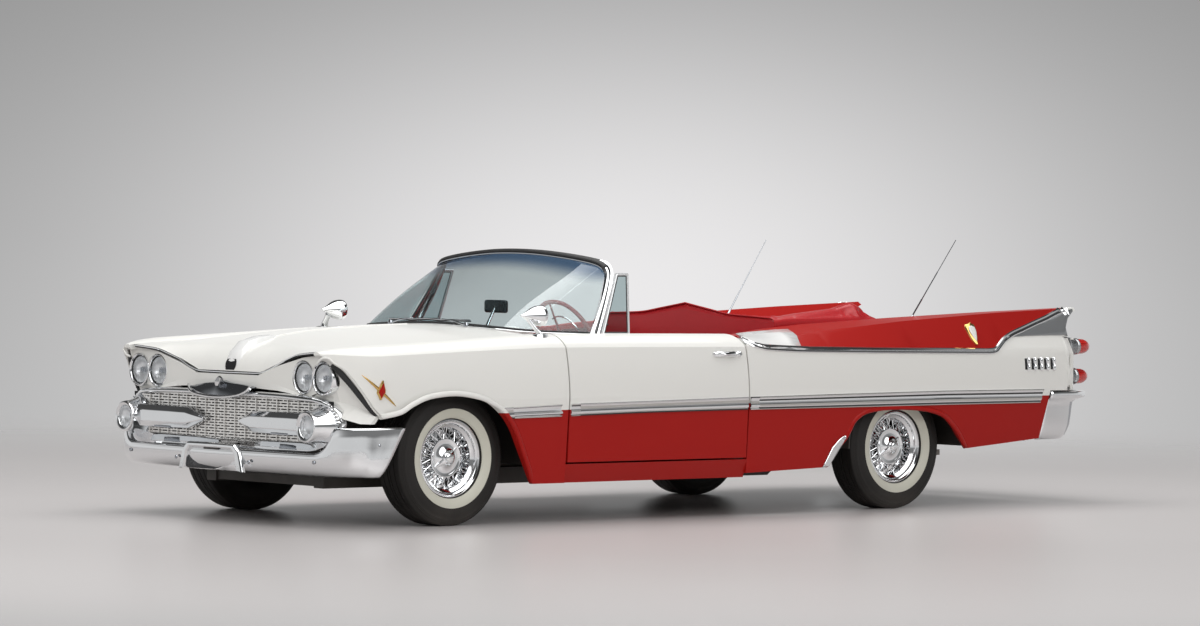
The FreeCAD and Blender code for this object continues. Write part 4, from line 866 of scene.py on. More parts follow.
def plate(name, side, hand, columns, material, lift, rows=6):
    """A thin sheet on a quarter. Columns: station and z of its foot, station and z of its top."""
    grid = [[on_side(f"{hand}_quarter", side, low_x + (high_x - low_x) * index / rows,
                     low_z + (high_z - low_z) * index / rows, lift) for index in range(rows + 1)]
            for low_x, low_z, high_x, high_z in columns]
    grown(f"{hand}_{name}", grid, material, thick=3, offset=0)


FRONT_PLATE = [
    (1880, 908, 1884, 921), (1912, 891, 1925, 925), (1960, 875, 1985, 930), (2040, 866, 2080, 938),
    (2130, 862, 2180, 944), (2210, 858, 2270, 950), (2280, 856, 2352, 953),
]
FIN_CAP = [
    (3858, 909, 3862, 912), (3930, 914, 3935, 926), (4020, 918, 4022, 950), (4120, 920, 4122, 978),
    (4230, 921, 4232, 1006), (4330, 921, 4332, 1036), (4358, 942, 4372, 1045), (4380, 985, 4410, 1054),
    (4425, 1028, 4438, 1060), (4462, 1050, 4466, 1063),
]
for side, hand in SIDES:
    plate("fin_front_panel", side, hand, FRONT_PLATE, front_white, 1.6)
    plate("fin_cap", side, hand, FIN_CAP, cap_metal, 2.4)
print("fin plates made")

# %% [markdown]
# The front bumper is one thin pressing, high at the car's corners and low across the grille, with a lip rolled inward
# along the top. It is grown along its plan, one upright section after another, then given the steel's thickness.

# %% Front bumper
# Half plan from the rear end to the middle: station, y, and the direction that points into the car.
FRONT_PLAN = [
    (-372, 964, 0, -0.4), (-470, 960, 0.05, -0.4), (-560, 950, 0.15, -0.5), (-640, 918, 0.45, -0.6),
    (-704, 868, 0.7, -0.6), (-738, 800, 0.9, -0.4), (-757, 735, 1, -0.25), (-778, 600, 1, -0.1),
    (-792, 430, 1, 0), (-804, 240, 1, 0), (-811, 110, 1, 0), (-813, 0, 1, 0),
]


def bumper_top(y):
    """Height of the bumper's upper edge across the car."""
    return between([(0, 362), (742, 362), (780, 376), (808, 404), (836, 466), (850, 484), (870, 487)], abs(y))[0]


def bumper_rows(plan, top_of, section_of, end_line, turn_station):
    """Upright sections of a bumper along its whole plan, from one end round to the other."""
    half = smooth_line([(station, y, 0) for station, y, dx, dy in plan], 4)
    inward = smooth_line([(dx, dy, 0) for station, y, dx, dy in plan], 4)
    path = list(zip(half, inward))
    path += [(Vector((p.x, -p.y, 0)), Vector((w.x, -w.y, 0))) for p, w in reversed(path[:-1])]
    arm = plan[0][0] - turn_station
    rows = []
    for point, way in path:
        row = []
        for z, inset in section_of(top_of(point.y)):
            station = point.x
            if (station - turn_station) * arm > 0:
                end = between(end_line, z)[0]
                station = turn_station + (station - turn_station) * (end - turn_station) / arm
            row.append(spot(station + way.x * inset, point.y + way.y * inset, z))
        rows.append(row)
    return rows


def front_section(top):
    """Height and inset up a section whose upper edge is at top."""
    foot = [(250, 64), (256, 46), (265, 32), (280, 17), (300, 8), (322, 2.5), (345, 0)]
    face = [(345 + (top - 8 - 345) * share, 0.5 + 2 * share) for share in (0.35, 0.7, 1.0)]
    return foot + face + [(top - 3, 4), (top + 1, 9), (top + 3, 17), (top + 1, 26), (top - 5, 32), (top - 13, 34)]


bumper = grown("front_bumper_blade", bumper_rows(FRONT_PLAN, bumper_top, front_section, [(250, -516), (488, -374)],
                                                 -600), chrome, sharp=50, replaces="front_bumper", thick=4)
print("bumper faces:", len(bumper.data.polygons))

# %% [markdown]
# A chromed arch frames the place for a number plate, which is left bare with its bracket. Round-headed bolts hold
# the pressing to its irons.

# %% Plate arch and bolts
# From the back round the front and in again: station, half width at the foot, at the side and at the shoulder, then
# the heights of the foot, the side and the top.
ARCH = [
    (-796, 256, 226, 190, 252, 352, 386), (-812, 254, 225, 189, 253, 351, 385), (-821, 246, 220, 184, 255, 348, 379),
    (-822, 214, 196, 172, 259, 342, 368), (-817, 204, 188, 166, 261, 339, 362), (-784, 198, 184, 162, 263, 336, 358),
]
plate_arch = grown("plate_arch", [[spot(station, y, z) for y, z in (
    (low, foot), (side, middle), (shoulder, top), (shoulder / 3, top + 1), (-shoulder / 3, top + 1), (-shoulder, top),
    (-side, middle), (-low, foot))] for station, low, side, shoulder, foot, middle, top in ARCH], chrome, sharp=30)


def softened(piece, width, degrees):
    """Round a piece's edges that are sharper than an angle."""
    with_modifier(piece, "BEVEL", width=width, segments=2, limit_method="ANGLE", angle_limit=math.radians(degrees))


softened(plate_arch, 0.002, 25)
# A flat black for openings and gaps: painted shadow where there is only shade.
shadow_black = plain_finish("inner_black", (0.006, 0.006, 0.007), (0.015, 0.015, 0.016), rough=0.8, grain=60, bump=0.1)
plate_painted_shade = plain_finish("dark_gloss_plate", (0.035, 0.038, 0.042), (0.06, 0.064, 0.07), rough=0.16, grain=60)
# The back's right half is a dark gloss sheet instead of chrome: painted shade in that half of the recess.
for hand, material, columns in (("left", chrome, ((-806, -200), (-792, -110), (-780, 14))),
                                ("right", plate_painted_shade, ((-780, 14), (-792, 120), (-806, 200)))):
    grown(f"plate_arch_back_{hand}", [[spot(x, y, z) for z in (256, 285, 320, 364)] for x, y in columns], material,
          thick=2)
grown("plate_bracket", [[spot(x, y, z) for x, z in ((-800, 350), (-812, 354), (-813, 362), (-806, 368))]
                        for y in (-60, -20, 20, 60)], black_steel, thick=2)
bm = bmesh.new()
for (station, y, z), (ahead, out) in (((-806, 292, 304), (-1, 0.05)), ((-758, 738, 320), (-1, 0.25)),
                                      ((-529, 954, 406), (0, 1))):
    for side, hand in SIDES:
        head = turned([(0, 6), (4, 5.4), (7.5, 3), (9, 0), (9.5, -3)], 20)
        added(bm, head, pointing(spot(station, side * y, z), (ahead, out * side, 0)))
finished("bumper_bolts", bm, dark_chrome)
print("arch, bracket and six bolts")

# %% [markdown]
# The egg-crate grille is laid like bricks: proud uprights, level blades, and short dividers staggered from row to
# row. It folds back on both sides of the middle, and each bar stops where the rounded opening stops.

# %% Egg-crate grille
grille_metal = plain_finish("cast_grille_metal", (0.90, 0.89, 0.87), (0.76, 0.75, 0.73), amount=0.5, rough=0.26,
                            spread=0.12, scale=14, grain=300, bump=0.05, metal=0.8)
GRILLE_LOW, GRILLE_HIGH, LEVELS = 404, 612, 15
FOLD, HALF_GRILLE = 26, 820


def opening_reach(z):
    """Half width of the grille's opening at a height."""
    rise = (z - 507) / 99
    return 640 + 180 * math.sqrt(max(0.0, 1 - rise * rise)) if abs(rise) < 1 else 630


def grille_face(y):
    """Station of the grille's face, folded at the middle."""
    return -728 + FOLD * abs(y) / HALF_GRILLE


def block(bm, centre, size, turn=0.0):
    """A block by its centre and size in millimetres, turned about the upright axis."""
    verts = bmesh.ops.create_cube(bm, size=1.0)["verts"]
    bmesh.ops.scale(bm, vec=[s / 1000 for s in size], verts=verts)
    bmesh.ops.rotate(bm, cent=(0, 0, 0), matrix=Matrix.Rotation(turn, 3, "Z"), verts=verts)
    bmesh.ops.translate(bm, vec=spot(*centre), verts=verts)
    return verts


bm = bmesh.new()
pitch = (GRILLE_HIGH - GRILLE_LOW) / LEVELS
for level in range(LEVELS + 1):
    z = GRILLE_LOW + pitch * level
    reach = opening_reach(z)
    for side, hand in SIDES:
        block(bm, (grille_face(reach / 2) + 8, side * reach / 2, z), (14, reach, 8.0),
              -side * math.atan(FOLD / HALF_GRILLE))
for column in range(-20, 21):
    y = column * 40.0
    if column % 2 == 0:
        top = next(z for z in (612, 604, 596, 588, 575, 560, 540) if opening_reach(z) > abs(y) or z == 540)
        foot = GRILLE_LOW + GRILLE_HIGH - 2 - top
        block(bm, (grille_face(y) + 4, y, (top + foot) / 2), (20, 7.0, top - foot))
        continue
    for level in range(LEVELS):
        shifted = y + (20 if level % 2 else 0)
        z = GRILLE_LOW + pitch * (level + 0.5)
        if abs(shifted) < opening_reach(z) - 4:
            block(bm, (grille_face(y) + 8, shifted, z), (12, 9.0, pitch))
crate = finished("egg_crate_grille", bm, grille_metal, sharp=20, replaces="grille")
# A black sheet behind the crate paints the shadow in the radiator opening.
grown("radiator_shadow", [[spot(-690, y, z) for z in (404, 440, 507, 575, 612)] for y in (-800, -640, 0, 640, 800)],
      shadow_black, slot="", thick=3)
print("grille faces:", len(crate.data.polygons))

# %% [markdown]
# Round the grille runs a heavy chromed loop with half-round ends that bends back towards the car's corners. A section
# drawn along the opening's outline makes it.

# %% Grille loop
# Its section over the top and ends, and along the bottom, where it becomes a gutter behind the bumper's lip.
TOP_CROSS = [(-12, -26), (-12, -6), (-11, 4), (-7, 9), (-2, 10), (5, 6), (11, -4), (14, -16), (14, -30)]
GUTTER_CROSS = [(-24, -26), (-22, -18), (-16, -10), (-7, 0), (4, 14), (14, 27), (21, 35), (25, 38), (26, 30)]


def loop_place(y, z):
    """A place on the loop's middle line, which bends back towards the car's corners."""
    return spot(between([(0, -752), (560, -745), (700, -720), (780, -690), (860, -662)], abs(y))[0], y, z)


right_half = [(0, 631), (200, 631), (420, 629), (560, 625), (640, 620)]
right_half += [(645 + 188 * math.sin(math.radians(a)), 505 + 115 * math.cos(math.radians(a)))
               for a in range(15, 180, 15)]
right_half += [(640, 391), (500, 389), (300, 388), (120, 388)]
path = [loop_place(y, z) for y, z in right_half + [(0, 388)] + [(-y, z) for y, z in reversed(right_half[1:])]]
path = smooth_line([path[-1]] + path + path[:2], 3)[3:-6]
rows = []
for place, along in with_ways(path, ring=True):
    ahead = Vector((-1, 0, 0))
    ahead = (ahead - along * ahead.dot(along)).normalized()
    across = along.cross(ahead).normalized()
    share = min(1.0, max(0.0, (0.450 - place.z) / 0.050))
    share = share * share * (3 - 2 * share)
    upper, lower = ([place + across * u / 1000 + ahead * v / 1000 for u, v in cross]
                    for cross in (TOP_CROSS, GUTTER_CROSS))
    rows.append([a.lerp(b, share) for a, b in zip(upper, lower)])
loop = grown("grille_loop", rows + [rows[0]], chrome, sharp=50, merge=1e-4, replaces="grille_surround", thick=3)
print("loop faces:", len(loop.data.polygons))

# %% Lamp glass and reflector
lens_glass, tree, shader = new_material("ribbed_lamp_glass")
ribs = node(tree, "ShaderNodeTexWave", {"Vector": object_place(tree), "Scale": 26.0, "Distortion": 1.0},
            wave_type="BANDS", bands_direction="Y")
feed(tree, shader, {"Base Color": (0.93, 0.95, 0.97), "Transmission Weight": 1.0, "Roughness": 0.05, "IOR": 1.45})
bumped(tree, shader, ribs.outputs["Fac"], 0.35, 0.004)


def clear_in_shadow(tree, shader, tint=None):
    """Let light through a glass in its shadow, or the lamp behind it would be dark."""
    seen_through(tree, node(tree, "ShaderNodeLightPath").outputs["Is Shadow Ray"], shader, tint)


clear_in_shadow(tree, shader)
reflector = plain_finish("lamp_reflector", (0.93, 0.94, 0.95), (0.82, 0.84, 0.86), rough=0.30, grain=40, metal=0.7)

# %% Parking-lamp pods
POD_SECTION = [(70, -40), (104, -36), (111, -26), (112, -6), (106, 12), (96, 30), (88, 50), (82, 74), (78, 98),
               (77, 112), (74, 120), (68, 123), (61, 121), (55, 115), (52, 108), (51, 100)]
BOWL_SECTION = [(51.5, 106), (46, 95), (35, 85), (18, 79), (0, 77)]
LENS_SECTION = [(51, 110), (44, 114), (33, 118), (16, 120.5), (0, 121)]
POD_PLACES = [(-685, side * 731, 490) for side, hand in SIDES]
TEETH = 40


def turned_all(name, profile, places, material, way=(-1, 0, 0), steps=48, **settings):
    """The same turned shape at several places. It points out of the car's front, unless told otherwise."""
    bm = bmesh.new()
    for place in places:
        added(bm, turned(profile, steps), pointing(spot(*place), way))
    return finished(name, bm, material, **settings)


turned_all("pod_shells", POD_SECTION, POD_PLACES, chrome)
turned_all("pod_bowls", BOWL_SECTION, POD_PLACES, reflector)
turned_all("pod_lenses", LENS_SECTION, POD_PLACES, lens_glass)
# The knurled ring at each pod's root is a ring of short teeth.
bm = bmesh.new()
for station, y, z in POD_PLACES:
    for index in range(TEETH):
        turn = math.tau * index / TEETH
        root = spot(station - 5, y + 110 * math.cos(turn), z + 110 * math.sin(turn))
        bmesh.ops.create_cone(bm, cap_ends=True, segments=4, radius1=0.0072, radius2=0.0046, depth=0.026,
                              matrix=Matrix.Translation(root) @ Matrix.Rotation(math.radians(90), 4, "Y"))
finished("pod_knurls", bm, chrome, sharp=20)
print("pods at", POD_PLACES)

# %% Six-sided bars
# The section: ahead, height. The taper: y, share of the height, share of the depth.
BAR_SECTION = [(20, 58), (-14, 55), (-38, 28), (-38, -28), (-14, -55), (20, -58)]
BAR_TAPER = [(704, 1.0, 1.0), (560, 1.0, 1.0), (400, 0.98, 1.0), (262, 0.95, 1.0), (200, 0.55, 0.8), (142, 0.14, 0.45)]
bm, holders = bmesh.new(), bmesh.new()
for side, hand in SIDES:
    grow(bm, [[spot(-742 + ahead * depth, side * y, 498 + z * tall) for ahead, z in BAR_SECTION]
              for y, tall, depth in BAR_TAPER], closed=True)
    rounded(holders, block(holders, (-752, side * 470, 446), (26, 130, 9)), 0.003)
cap(bm)
softened(finished("pointed_bars", bm, chrome, sharp=20), 0.003, 20)
finished("bar_holders", holders, dark_chrome)

# %% [markdown]
# The centre of the loop carries a plain winged casting with a small peak, left without any mark. Its columns run
# across the car, and each is a little section from its foot to its crown.

# %% Centre casting
# y, foot z, crown z, forward bulge.
CASTING = [
    (0, 618, 690, 8), (22, 618, 684, 8), (44, 618, 681, 7), (70, 619, 678, 7), (110, 622, 676, 6),
    (150, 627, 673, 5), (184, 634, 669, 4), (214, 644, 665, 2), (240, 656, 660, 0),
]
rows = []
for y, foot, crown, bulge in [(-y, f, c, b) for y, f, c, b in reversed(CASTING[1:])] + CASTING:
    low, high = -784 + abs(y) * 0.07, -746 + abs(y) * 0.05
    rows.append([spot(low + 30, y, foot - 4), spot(low + 2, y, foot - 3), spot(low, y, foot + 2)]
                + [spot(low + (high - low) * share - bulge * swell, y, foot + (crown - foot) * share)
                   for share, swell in ((0.3, 0.8), (0.6, 1.0), (0.9, 0.3))]
                + [spot(high, y, crown), spot(high + 24, y, crown + 1)])
grown("centre_casting", rows, dark_chrome, capped=True, sharp=30)
# The right half of the ribbon's line: station, y, z.
RIBBON = [(-793, 0, 610), (-793, 55, 611), (-791, 130, 617), (-786, 190, 627), (-776, 232, 645), (-766, 246, 664)]
ribbon = [(x, -y, z) for x, y, z in reversed(RIBBON[1:])] + RIBBON
grown("centre_ribbon", [[spot(p.x + a, p.y, p.z + b) for a, b in ((8, 6), (-4, 7), (-8, 2), (-7, -5), (0, -9), (9, -7))]
                        for p in smooth_line(ribbon, 4)], chrome, closed=True, sharp=40)
# The peak, from its foot in front over its tip: station, share of the width, z.
PEAK = [(-776, 1, 664), (-781, 0.8, 684), (-774, 0.35, 706), (-764, 0.2, 712), (-752, 0.4, 700), (-748, 1, 664)]
grown("centre_peak", [[spot(x, y * share, z) for x, share, z in PEAK] for y in (-26, -18, 0, 18, 26)], chrome,
      capped=True, sharp=30)
print("centre casting made")

# %% [markdown]
# Each of the four lamps is a sealed glass in a chromed ring: a dark step, a bowl of reflector, a ribbed lens and a
# rim that turns back to the panel. Each is one outline spun about the axis that looks forward.

# %% Sealed lamps
LAMP_PLACES = [(station, side * y, 722) for station, y in ((-704, 585), (-706, 738)) for side, hand in SIDES]
RIM = [(70, -26), (71, -8), (73, 2), (78, 7), (82, 5), (84, -2), (85, -14), (84, -60)]
BOWL = [(66.5, -9), (60, -22), (46, -38), (26, -48), (12, -51), (0, -51)]
BULB_CAP = [(0, -20), (9, -21), (12, -26), (12, -44), (0, -44)]
GLASS_FACE = [(66, -8), (60, -3), (48, 2), (30, 6), (14, 7.4), (0, 7.8)]
turned_all("lamp_rims", RIM, LAMP_PLACES, chrome, replaces="headlamps")
turned_all("lamp_steps", [(71, -2), (67, -5), (66, -9)], LAMP_PLACES, black_rubber, slot="chrome")
turned_all("lamp_bowls", BOWL, LAMP_PLACES, reflector)
turned_all("lamp_bulb_caps", BULB_CAP, LAMP_PLACES, dark_chrome, steps=24)
turned_all("lamp_glasses", GLASS_FACE, LAMP_PLACES, lens_glass)
print("lamps:", len(LAMP_PLACES))

# %% [markdown]
# Heavy lids overhang the lamps. A lid's edge is a rounded lip that peaks at the corner, then turns back and down
# along the fender. Below it a black ribbed gasket fills the gap to the lamp panel.

# %% Lid edge
LID_EDGE = [(-757, 750, 787), (-766, 772, 798), (-764, 796, 818), (-744, 822, 820), (-721, 842, 797),
            (-677, 873, 759), (-616, 910, 672), (-553, 924, 585), (-512, 930, 545)]


def cord(bm, path, radius, flat=1.0, steps=8):
    """Grow a round or flattened cord along places in metres. The radius is in millimetres, one or one per place."""
    rows = []
    side = None
    for index, (point, along) in enumerate(with_ways(path)):
        side = side or along.cross(Vector((0.31, 0.17, 0.93)))
        side = (side - along * side.dot(along)).normalized()
        other = along.cross(side)
        size = (radius[index] if isinstance(radius, list) else radius) / 1000
        rows.append([point + side * size * math.cos(math.tau * i / steps)
                     + other * size * flat * math.sin(math.tau * i / steps) for i in range(steps)])
    grow(bm, rows, closed=True)


def cords(name, paths, radius, material, body="body", flat=1.0, steps=8, **settings):
    """One piece of several cords."""
    bm = bmesh.new()
    for path in paths:
        cord(bm, path, radius, flat, steps)
    cap(bm)
    return finished(name, bm, material, body, **settings)


def smooth_spots(line, count=4):
    """Places in metres along a smooth line of (station, y, z)."""
    return [spot(*p) for p in smooth_line(line, count)]


cords("lid_edge_lips", [smooth_spots([(x, side * y, z) for x, y, z in LID_EDGE]) for side in (1, -1)], 5.5,
      white_paint, steps=10)

# %% Ribbed gasket
GASKET = [(-716, 818, 792), (-690, 846, 752), (-652, 874, 700), (-604, 902, 632), (-556, 918, 574), (-524, 924, 548)]
bm = bmesh.new()
for side, hand in SIDES:
    line = smooth_line([(x, side * y, z) for x, y, z in GASKET], 9)
    rows = []
    for index, (p, along) in enumerate(with_ways(line)):
        inward = Vector((-0.62, -side * 0.68, -0.35))
        inward = (inward - along * inward.dot(along)).normalized()
        out = along.cross(inward).normalized()
        if out.x > 0:
            out = -out
        wide, proud = 15 - 5 * index / len(line), 3.2 if index % 2 else 0.6
        rows.append([spot(*(p + inward * (u * wide) + out * v)) for u, v in
                     ((-1, -8), (-1, proud), (0, proud + 1.5), (1, proud), (1, -8))])
    grow(bm, rows)
gasket = finished("lamp_panel_gaskets", bm, black_rubber, sharp=60)
print("gasket faces:", len(gasket.data.polygons))

# %% [markdown]
# The hood's front edge rolls under, which leaves a thin dark line, painted as a black cord of shadow, and a slim
# bright lip follows it. On its tip sits a low ornament: a wedge whose open mouth is a painted black shadow.

# %% Hood edge
HOOD_EDGE = [(-742, 733, 848), (-730, 650, 842), (-718, 560, 832), (-709, 470, 808), (-702, 400, 786),
             (-703, 330, 758), (-704, 250, 737), (-705, 150, 734), (-705, 0, 733)]
hood_line = HOOD_EDGE + [(x, -y, z) for x, y, z in reversed(HOOD_EDGE[:-1])]
cords("hood_edge_lip", [smooth_spots([(x - 4, y, z - 3) for x, y, z in hood_line])], 4.2, chrome, "hood")
# The black cord under the lip is the painted shadow of the rolled edge.
cords("hood_edge_shadow", [smooth_spots([(x + 3, y * 0.995, z - 9) for x, y, z in hood_line])], 5.0, shadow_black)

# %% Hood ornament
# Station, half width, crown lift above the hood. The base is sunk a little.
ORNAMENT = [(-700, 34, 6), (-692, 50, 22), (-672, 56, 34), (-620, 56, 38), (-550, 46, 32), (-470, 28, 19), (-420, 8, 3)]
ORNAMENT_ROUND = [(-1, 0), (-0.92, 0.45), (-0.72, 0.86), (-0.35, 1.0), (0, 1.03), (0.35, 1.0), (0.72, 0.86),
                  (0.92, 0.45), (1, 0)]
SUNK = -3
grown("hood_ornament", [[on_top("hood", station, half * u, SUNK + (crown - SUNK) * v) for u, v in ORNAMENT_ROUND]
                        for station, half, crown in ORNAMENT], front_white, "hood", capped=True, sharp=28)
# The mouth is a black patch on the hood: painted shadow of the opening.
grown("hood_ornament_mouth", [[on_top("hood", station, half * u, lift) for u in (-1, -0.4, 0.4, 1)]
                              for station, half, lift in ((-703, 34, 1.5), (-700, 40, 7), (-697, 43, 13),
                                                          (-694, 42, 18), (-690, 34, 23))], shadow_black, "hood")
crease = smooth_line([(-700, 0, 0), (-560, 0, 0), (-300, 0, 0), (60, 0, 0), (420, 0, 0)], 6)
grown("hood_crease", [[on_top("hood", p.x, y, lift) for y, lift in ((-4, -1), (-2.5, 3), (0, 4.5), (2.5, 3), (4, -1))]
                      for p in crease], white_paint, "hood")
print("hood edge and ornament made")

# %% [markdown]
# The wheel openings have a rolled lip where the sheet turns inward, white above the spear and red below it. In front
# of the rear wheel a bright shield takes the stones.

# %% Wheel-opening lips
FRONT_OPENING = [
    (-514, 944, 535), (-480, 968, 543), (-412, 984, 560), (-350, 989, 594), (-245, 990, 630), (-81, 990, 644),
    (71, 990, 624), (150, 989, 596), (206, 988, 570), (246, 987, 536), (284, 984, 494), (330, 980, 420),
    (366, 975, 345), (410, 966, 262), (441, 952, 203),
]
REAR_OPENING = [
    (2482, 945, 240), (2539, 955, 317), (2600, 964, 374), (2632, 970, 420), (2660, 974, 468), (2700, 978, 500),
    (2760, 980, 522), (2884, 982, 536), (3040, 982, 536), (3186, 981, 526), (3290, 979, 505), (3350, 976, 480),
    (3442, 968, 407), (3521, 955, 320),
]
# The lip's section: away from the opening, outward.
LIP = [(21.6, -3), (15.3, 2.5), (9, 5), (1.8, 5.5), (-4.5, 2), (-6.3, -5), (-3.6, -14), (1.8, -22)]
# The shield's foot: station, z, width.
SHIELD = [(2440, 236, 4), (2486, 240, 34), (2541, 316, 40), (2584, 358, 38), (2606, 380, 30), (2618, 396, 8)]
lip_paint = two_tone("two_tone_lip")
for side, hand in SIDES:
    for end, opening in (("front", FRONT_OPENING), ("rear", REAR_OPENING)):
        line = smooth_line([(x, side * y, z) for x, y, z in opening], 4)
        middle = sum(p.x for p in line) / len(line)
        rows = []
        for p, along in with_ways(line):
            away = along.cross(Vector((0, side, 0))).normalized()
            if away.dot(p - Vector((middle, p.y, 260))) < 0:
                away = -away
            rows.append([spot(*(p + away * u + Vector((0, side * v, 0)))) for u, v in LIP])
        grown(f"{hand}_{end}_opening_lip", rows, lip_paint, sharp=60, thick=2)
    plate("stone_shield", side, hand, [(x + 2, z + 3, x - wide, z + wide * 0.62) for x, z, wide in SHIELD], chrome, 5.0)
print("lips and shields made")

# %% [markdown]
# The windscreen is one bent pane of pale green glass with a blue shade band that follows the header's bow. Tinted
# glass has its colour in the mass, so the tint is on the transmission. Bright lines and dark seals frame it.

# %% Tinted glass
def tinted(name, colour, band=None):
    """Clear tinted glass. A band gives a second colour above a bowed line."""
    glass, tree, shader = new_material(name)
    place = object_place(tree)
    smear = noise(tree, place, 3.0, 4.0)
    tint = mixed(tree, smear, colour, tuple(c * 0.94 for c in colour))
    if band:
        along, across, height = axes(tree, place)
        bow = sums(tree, "MULTIPLY", sums(tree, "POWER", sums(tree, "ABSOLUTE", across), 2.0), 0.147)
        tint = mixed(tree, fading(tree, sums(tree, "ADD", height, bow), 1.235, 1.312), tint, band)
    feed(tree, shader, {"Transmission Weight": 1.0, "IOR": 1.48, "Base Color": tint,
                        "Roughness": ramp(tree, smear, [(0.35, 0.0), (0.75, 0.03)])})
    clear_in_shadow(tree, shader, {"Color": tint})
    return glass


screen_glass = tinted("windscreen_glass", (0.73, 0.825, 0.84), band=(0.10, 0.18, 0.30))
vent_glass = tinted("vent_window_glass", (0.62, 0.74, 0.76))

# %% Windscreen
# Half of the pane, as matching places on its foot and head: station, y, z of each.
PANE = [
    ((590, 0, 972), (1126, 0, 1332)), ((594, 180, 969), (1130, 170, 1328)), ((606, 360, 962), (1140, 340, 1315)),
    ((632, 520, 953), (1151, 490, 1298)), ((676, 636, 945), (1160, 590, 1281)), ((804, 684, 939), (1166, 636, 1262)),
    ((1006, 730, 934), (1172, 654, 1232)),
]
left_pane = [((fx, -fy, fz), (hx, -hy, hz)) for (fx, fy, fz), (hx, hy, hz) in reversed(PANE[1:])]
foot_points, head_points = (smooth_line(line, 6) for line in zip(*left_pane, *PANE))
columns = range(len(foot_points))


def off_middle(index):
    """How far a column stands from the middle of the pane: 0 there and 1 at its ends."""
    return abs(2 * index / (len(columns) - 1) - 1)


def pane_place(index, share, ahead=0.0):
    """A place on the pane: an upright column, a share of the way up, bowed forward in the middle."""
    p = foot_points[index].lerp(head_points[index], share)
    bow = math.sin(math.pi * share)
    return spot(p.x - 26 * bow * (1 - off_middle(index) ** 3) - ahead, p.y * (1 + 0.02 * bow), p.z)


grown("windscreen_pane", [[pane_place(index, step / 16) for step in range(17)] for index in columns], screen_glass,
      sharp=50, wall=5, replaces="windshield_glass")

# %% Header, seal and trims
# The header's section behind the top of the glass: millimetres behind it and above it.
HEADER = [(-6, -4), (-8, 6), (0, 15), (40, 14), (46, 4), (40, -6)]
STRIP = [(-9, 5), (-8, 13), (0, 20), (14, 21), (44, 20), (52, 14), (54, 2)]
TRIM = [(-8, -5), (-11, -3), (-11, 2), (-8, 4)]


def along_head(section):
    """Rows of a section along the head of the glass, narrower towards its ends."""
    rows = []
    for index in columns:
        p = head_points[index]
        if abs(p.y) < 648:
            narrow = 1 - 0.45 * off_middle(index) ** 6
            rows.append([spot(p.x + behind * narrow, p.y * 1.012, p.z + above) for behind, above in section])
    return rows


grown("header", along_head(HEADER), black_rubber, closed=True, sharp=50, replaces="windshield_frame")
grown("header_seal", along_head(STRIP), black_rubber, sharp=50, thick=2, offset=1)
grown("header_trim", along_head(TRIM), dark_chrome, sharp=50)
cords("screen_foot_seal", [[pane_place(index, 0.010, 1) for index in columns]], 5, black_rubber)
cords("screen_foot_trim", [[pane_place(index, -0.016, 6) for index in columns]], 4, chrome)

# %% Pillars
# Each pillar is a bright double band with a dark line between, from the cowl up to the header, curving into it.
FRONT_LINE = [(1008, 731, 925), (1060, 712, 1010), (1112, 692, 1100), (1152, 672, 1180), (1172, 655, 1232),
              (1168, 634, 1268), (1160, 596, 1290)]
REAR_LINE = [(1079, 737, 920), (1120, 720, 1010), (1162, 702, 1100), (1196, 686, 1186), (1212, 672, 1246),
             (1208, 646, 1288), (1196, 600, 1306)]
# Across each band: share of the way from the front line to the rear one, lift.
BANDS = [
    ("pillar_front_band", chrome, [(0.0, -8), (0.0, 2), (0.10, 7), (0.28, 9), (0.44, 7), (0.48, -2)]),
    ("pillar_seam", black_rubber, [(0.44, -2), (0.48, 2), (0.54, 2), (0.58, -2)]),
    ("pillar_rear_band", chrome, [(0.54, -2), (0.57, 7), (0.74, 9), (0.92, 8), (1.0, 3), (1.0, -18)]),
]
for name, material, across in BANDS:
    bm = bmesh.new()
    for side, hand in SIDES:
        rows = []
        for front, rear in zip(smooth_line(FRONT_LINE, 5), smooth_line(REAR_LINE, 5)):
            rows.append([])
            for share, lift in across:
                p = front.lerp(rear, share)
                rows[-1].append(spot(p.x - 0.35 * lift, side * (p.y + lift), p.z + 0.25 * lift))
        grow(bm, rows)
    finished(name, bm, material, sharp=40, slot="chrome", wall=2)
print("windscreen trimmed")

# %% [markdown]
# Two wipers lie along the foot of the glass: a thin arm from a round pivot, a blade and its rubber. A mirror stands
# on the dashboard on a bright stalk.

# %% Wipers
def on_glass(y, z, ahead=0.0):
    """The place on the windscreen's front at a height across the car, moved ahead by millimetres."""
    index = min(columns, key=lambda i: abs(foot_points[i].y - y))
    foot, head = foot_points[index], head_points[index]
    return pane_place(index, (z - foot.z) / (head.z - foot.z), ahead) + Vector((0, (y - foot.y) / 1000, 0))


bm, rubber = bmesh.new(), bmesh.new()
for side, hand in SIDES:
    pivot = spot(556, side * 300, 966)
    middle_y = side * 120 + 60
    middle = on_glass(middle_y, 992, 14)
    cord(bm, [pivot, pivot.lerp(middle, 0.5) + Vector((-0.008, 0, 0.006)), middle], [6, 4, 3])
    blade = [on_glass(y, 984 + abs(step) * 1.5 - y ** 2 / 15000, 9)
             for step, y in ((step, middle_y + step * 52) for step in range(-4, 5))]
    cord(bm, [p + Vector((-0.004, 0, 0.005)) for p in blade], 3.0, steps=6)
    cord(rubber, blade, 4.0, steps=6)
    added(bm, turned([(0, 16), (9, 14), (12, 8), (13, -6)], 24), Matrix.Translation(pivot))
cap(bm)
cap(rubber)
finished("wiper_arms", bm, dark_chrome)
finished("wiper_rubbers", rubber, black_rubber)

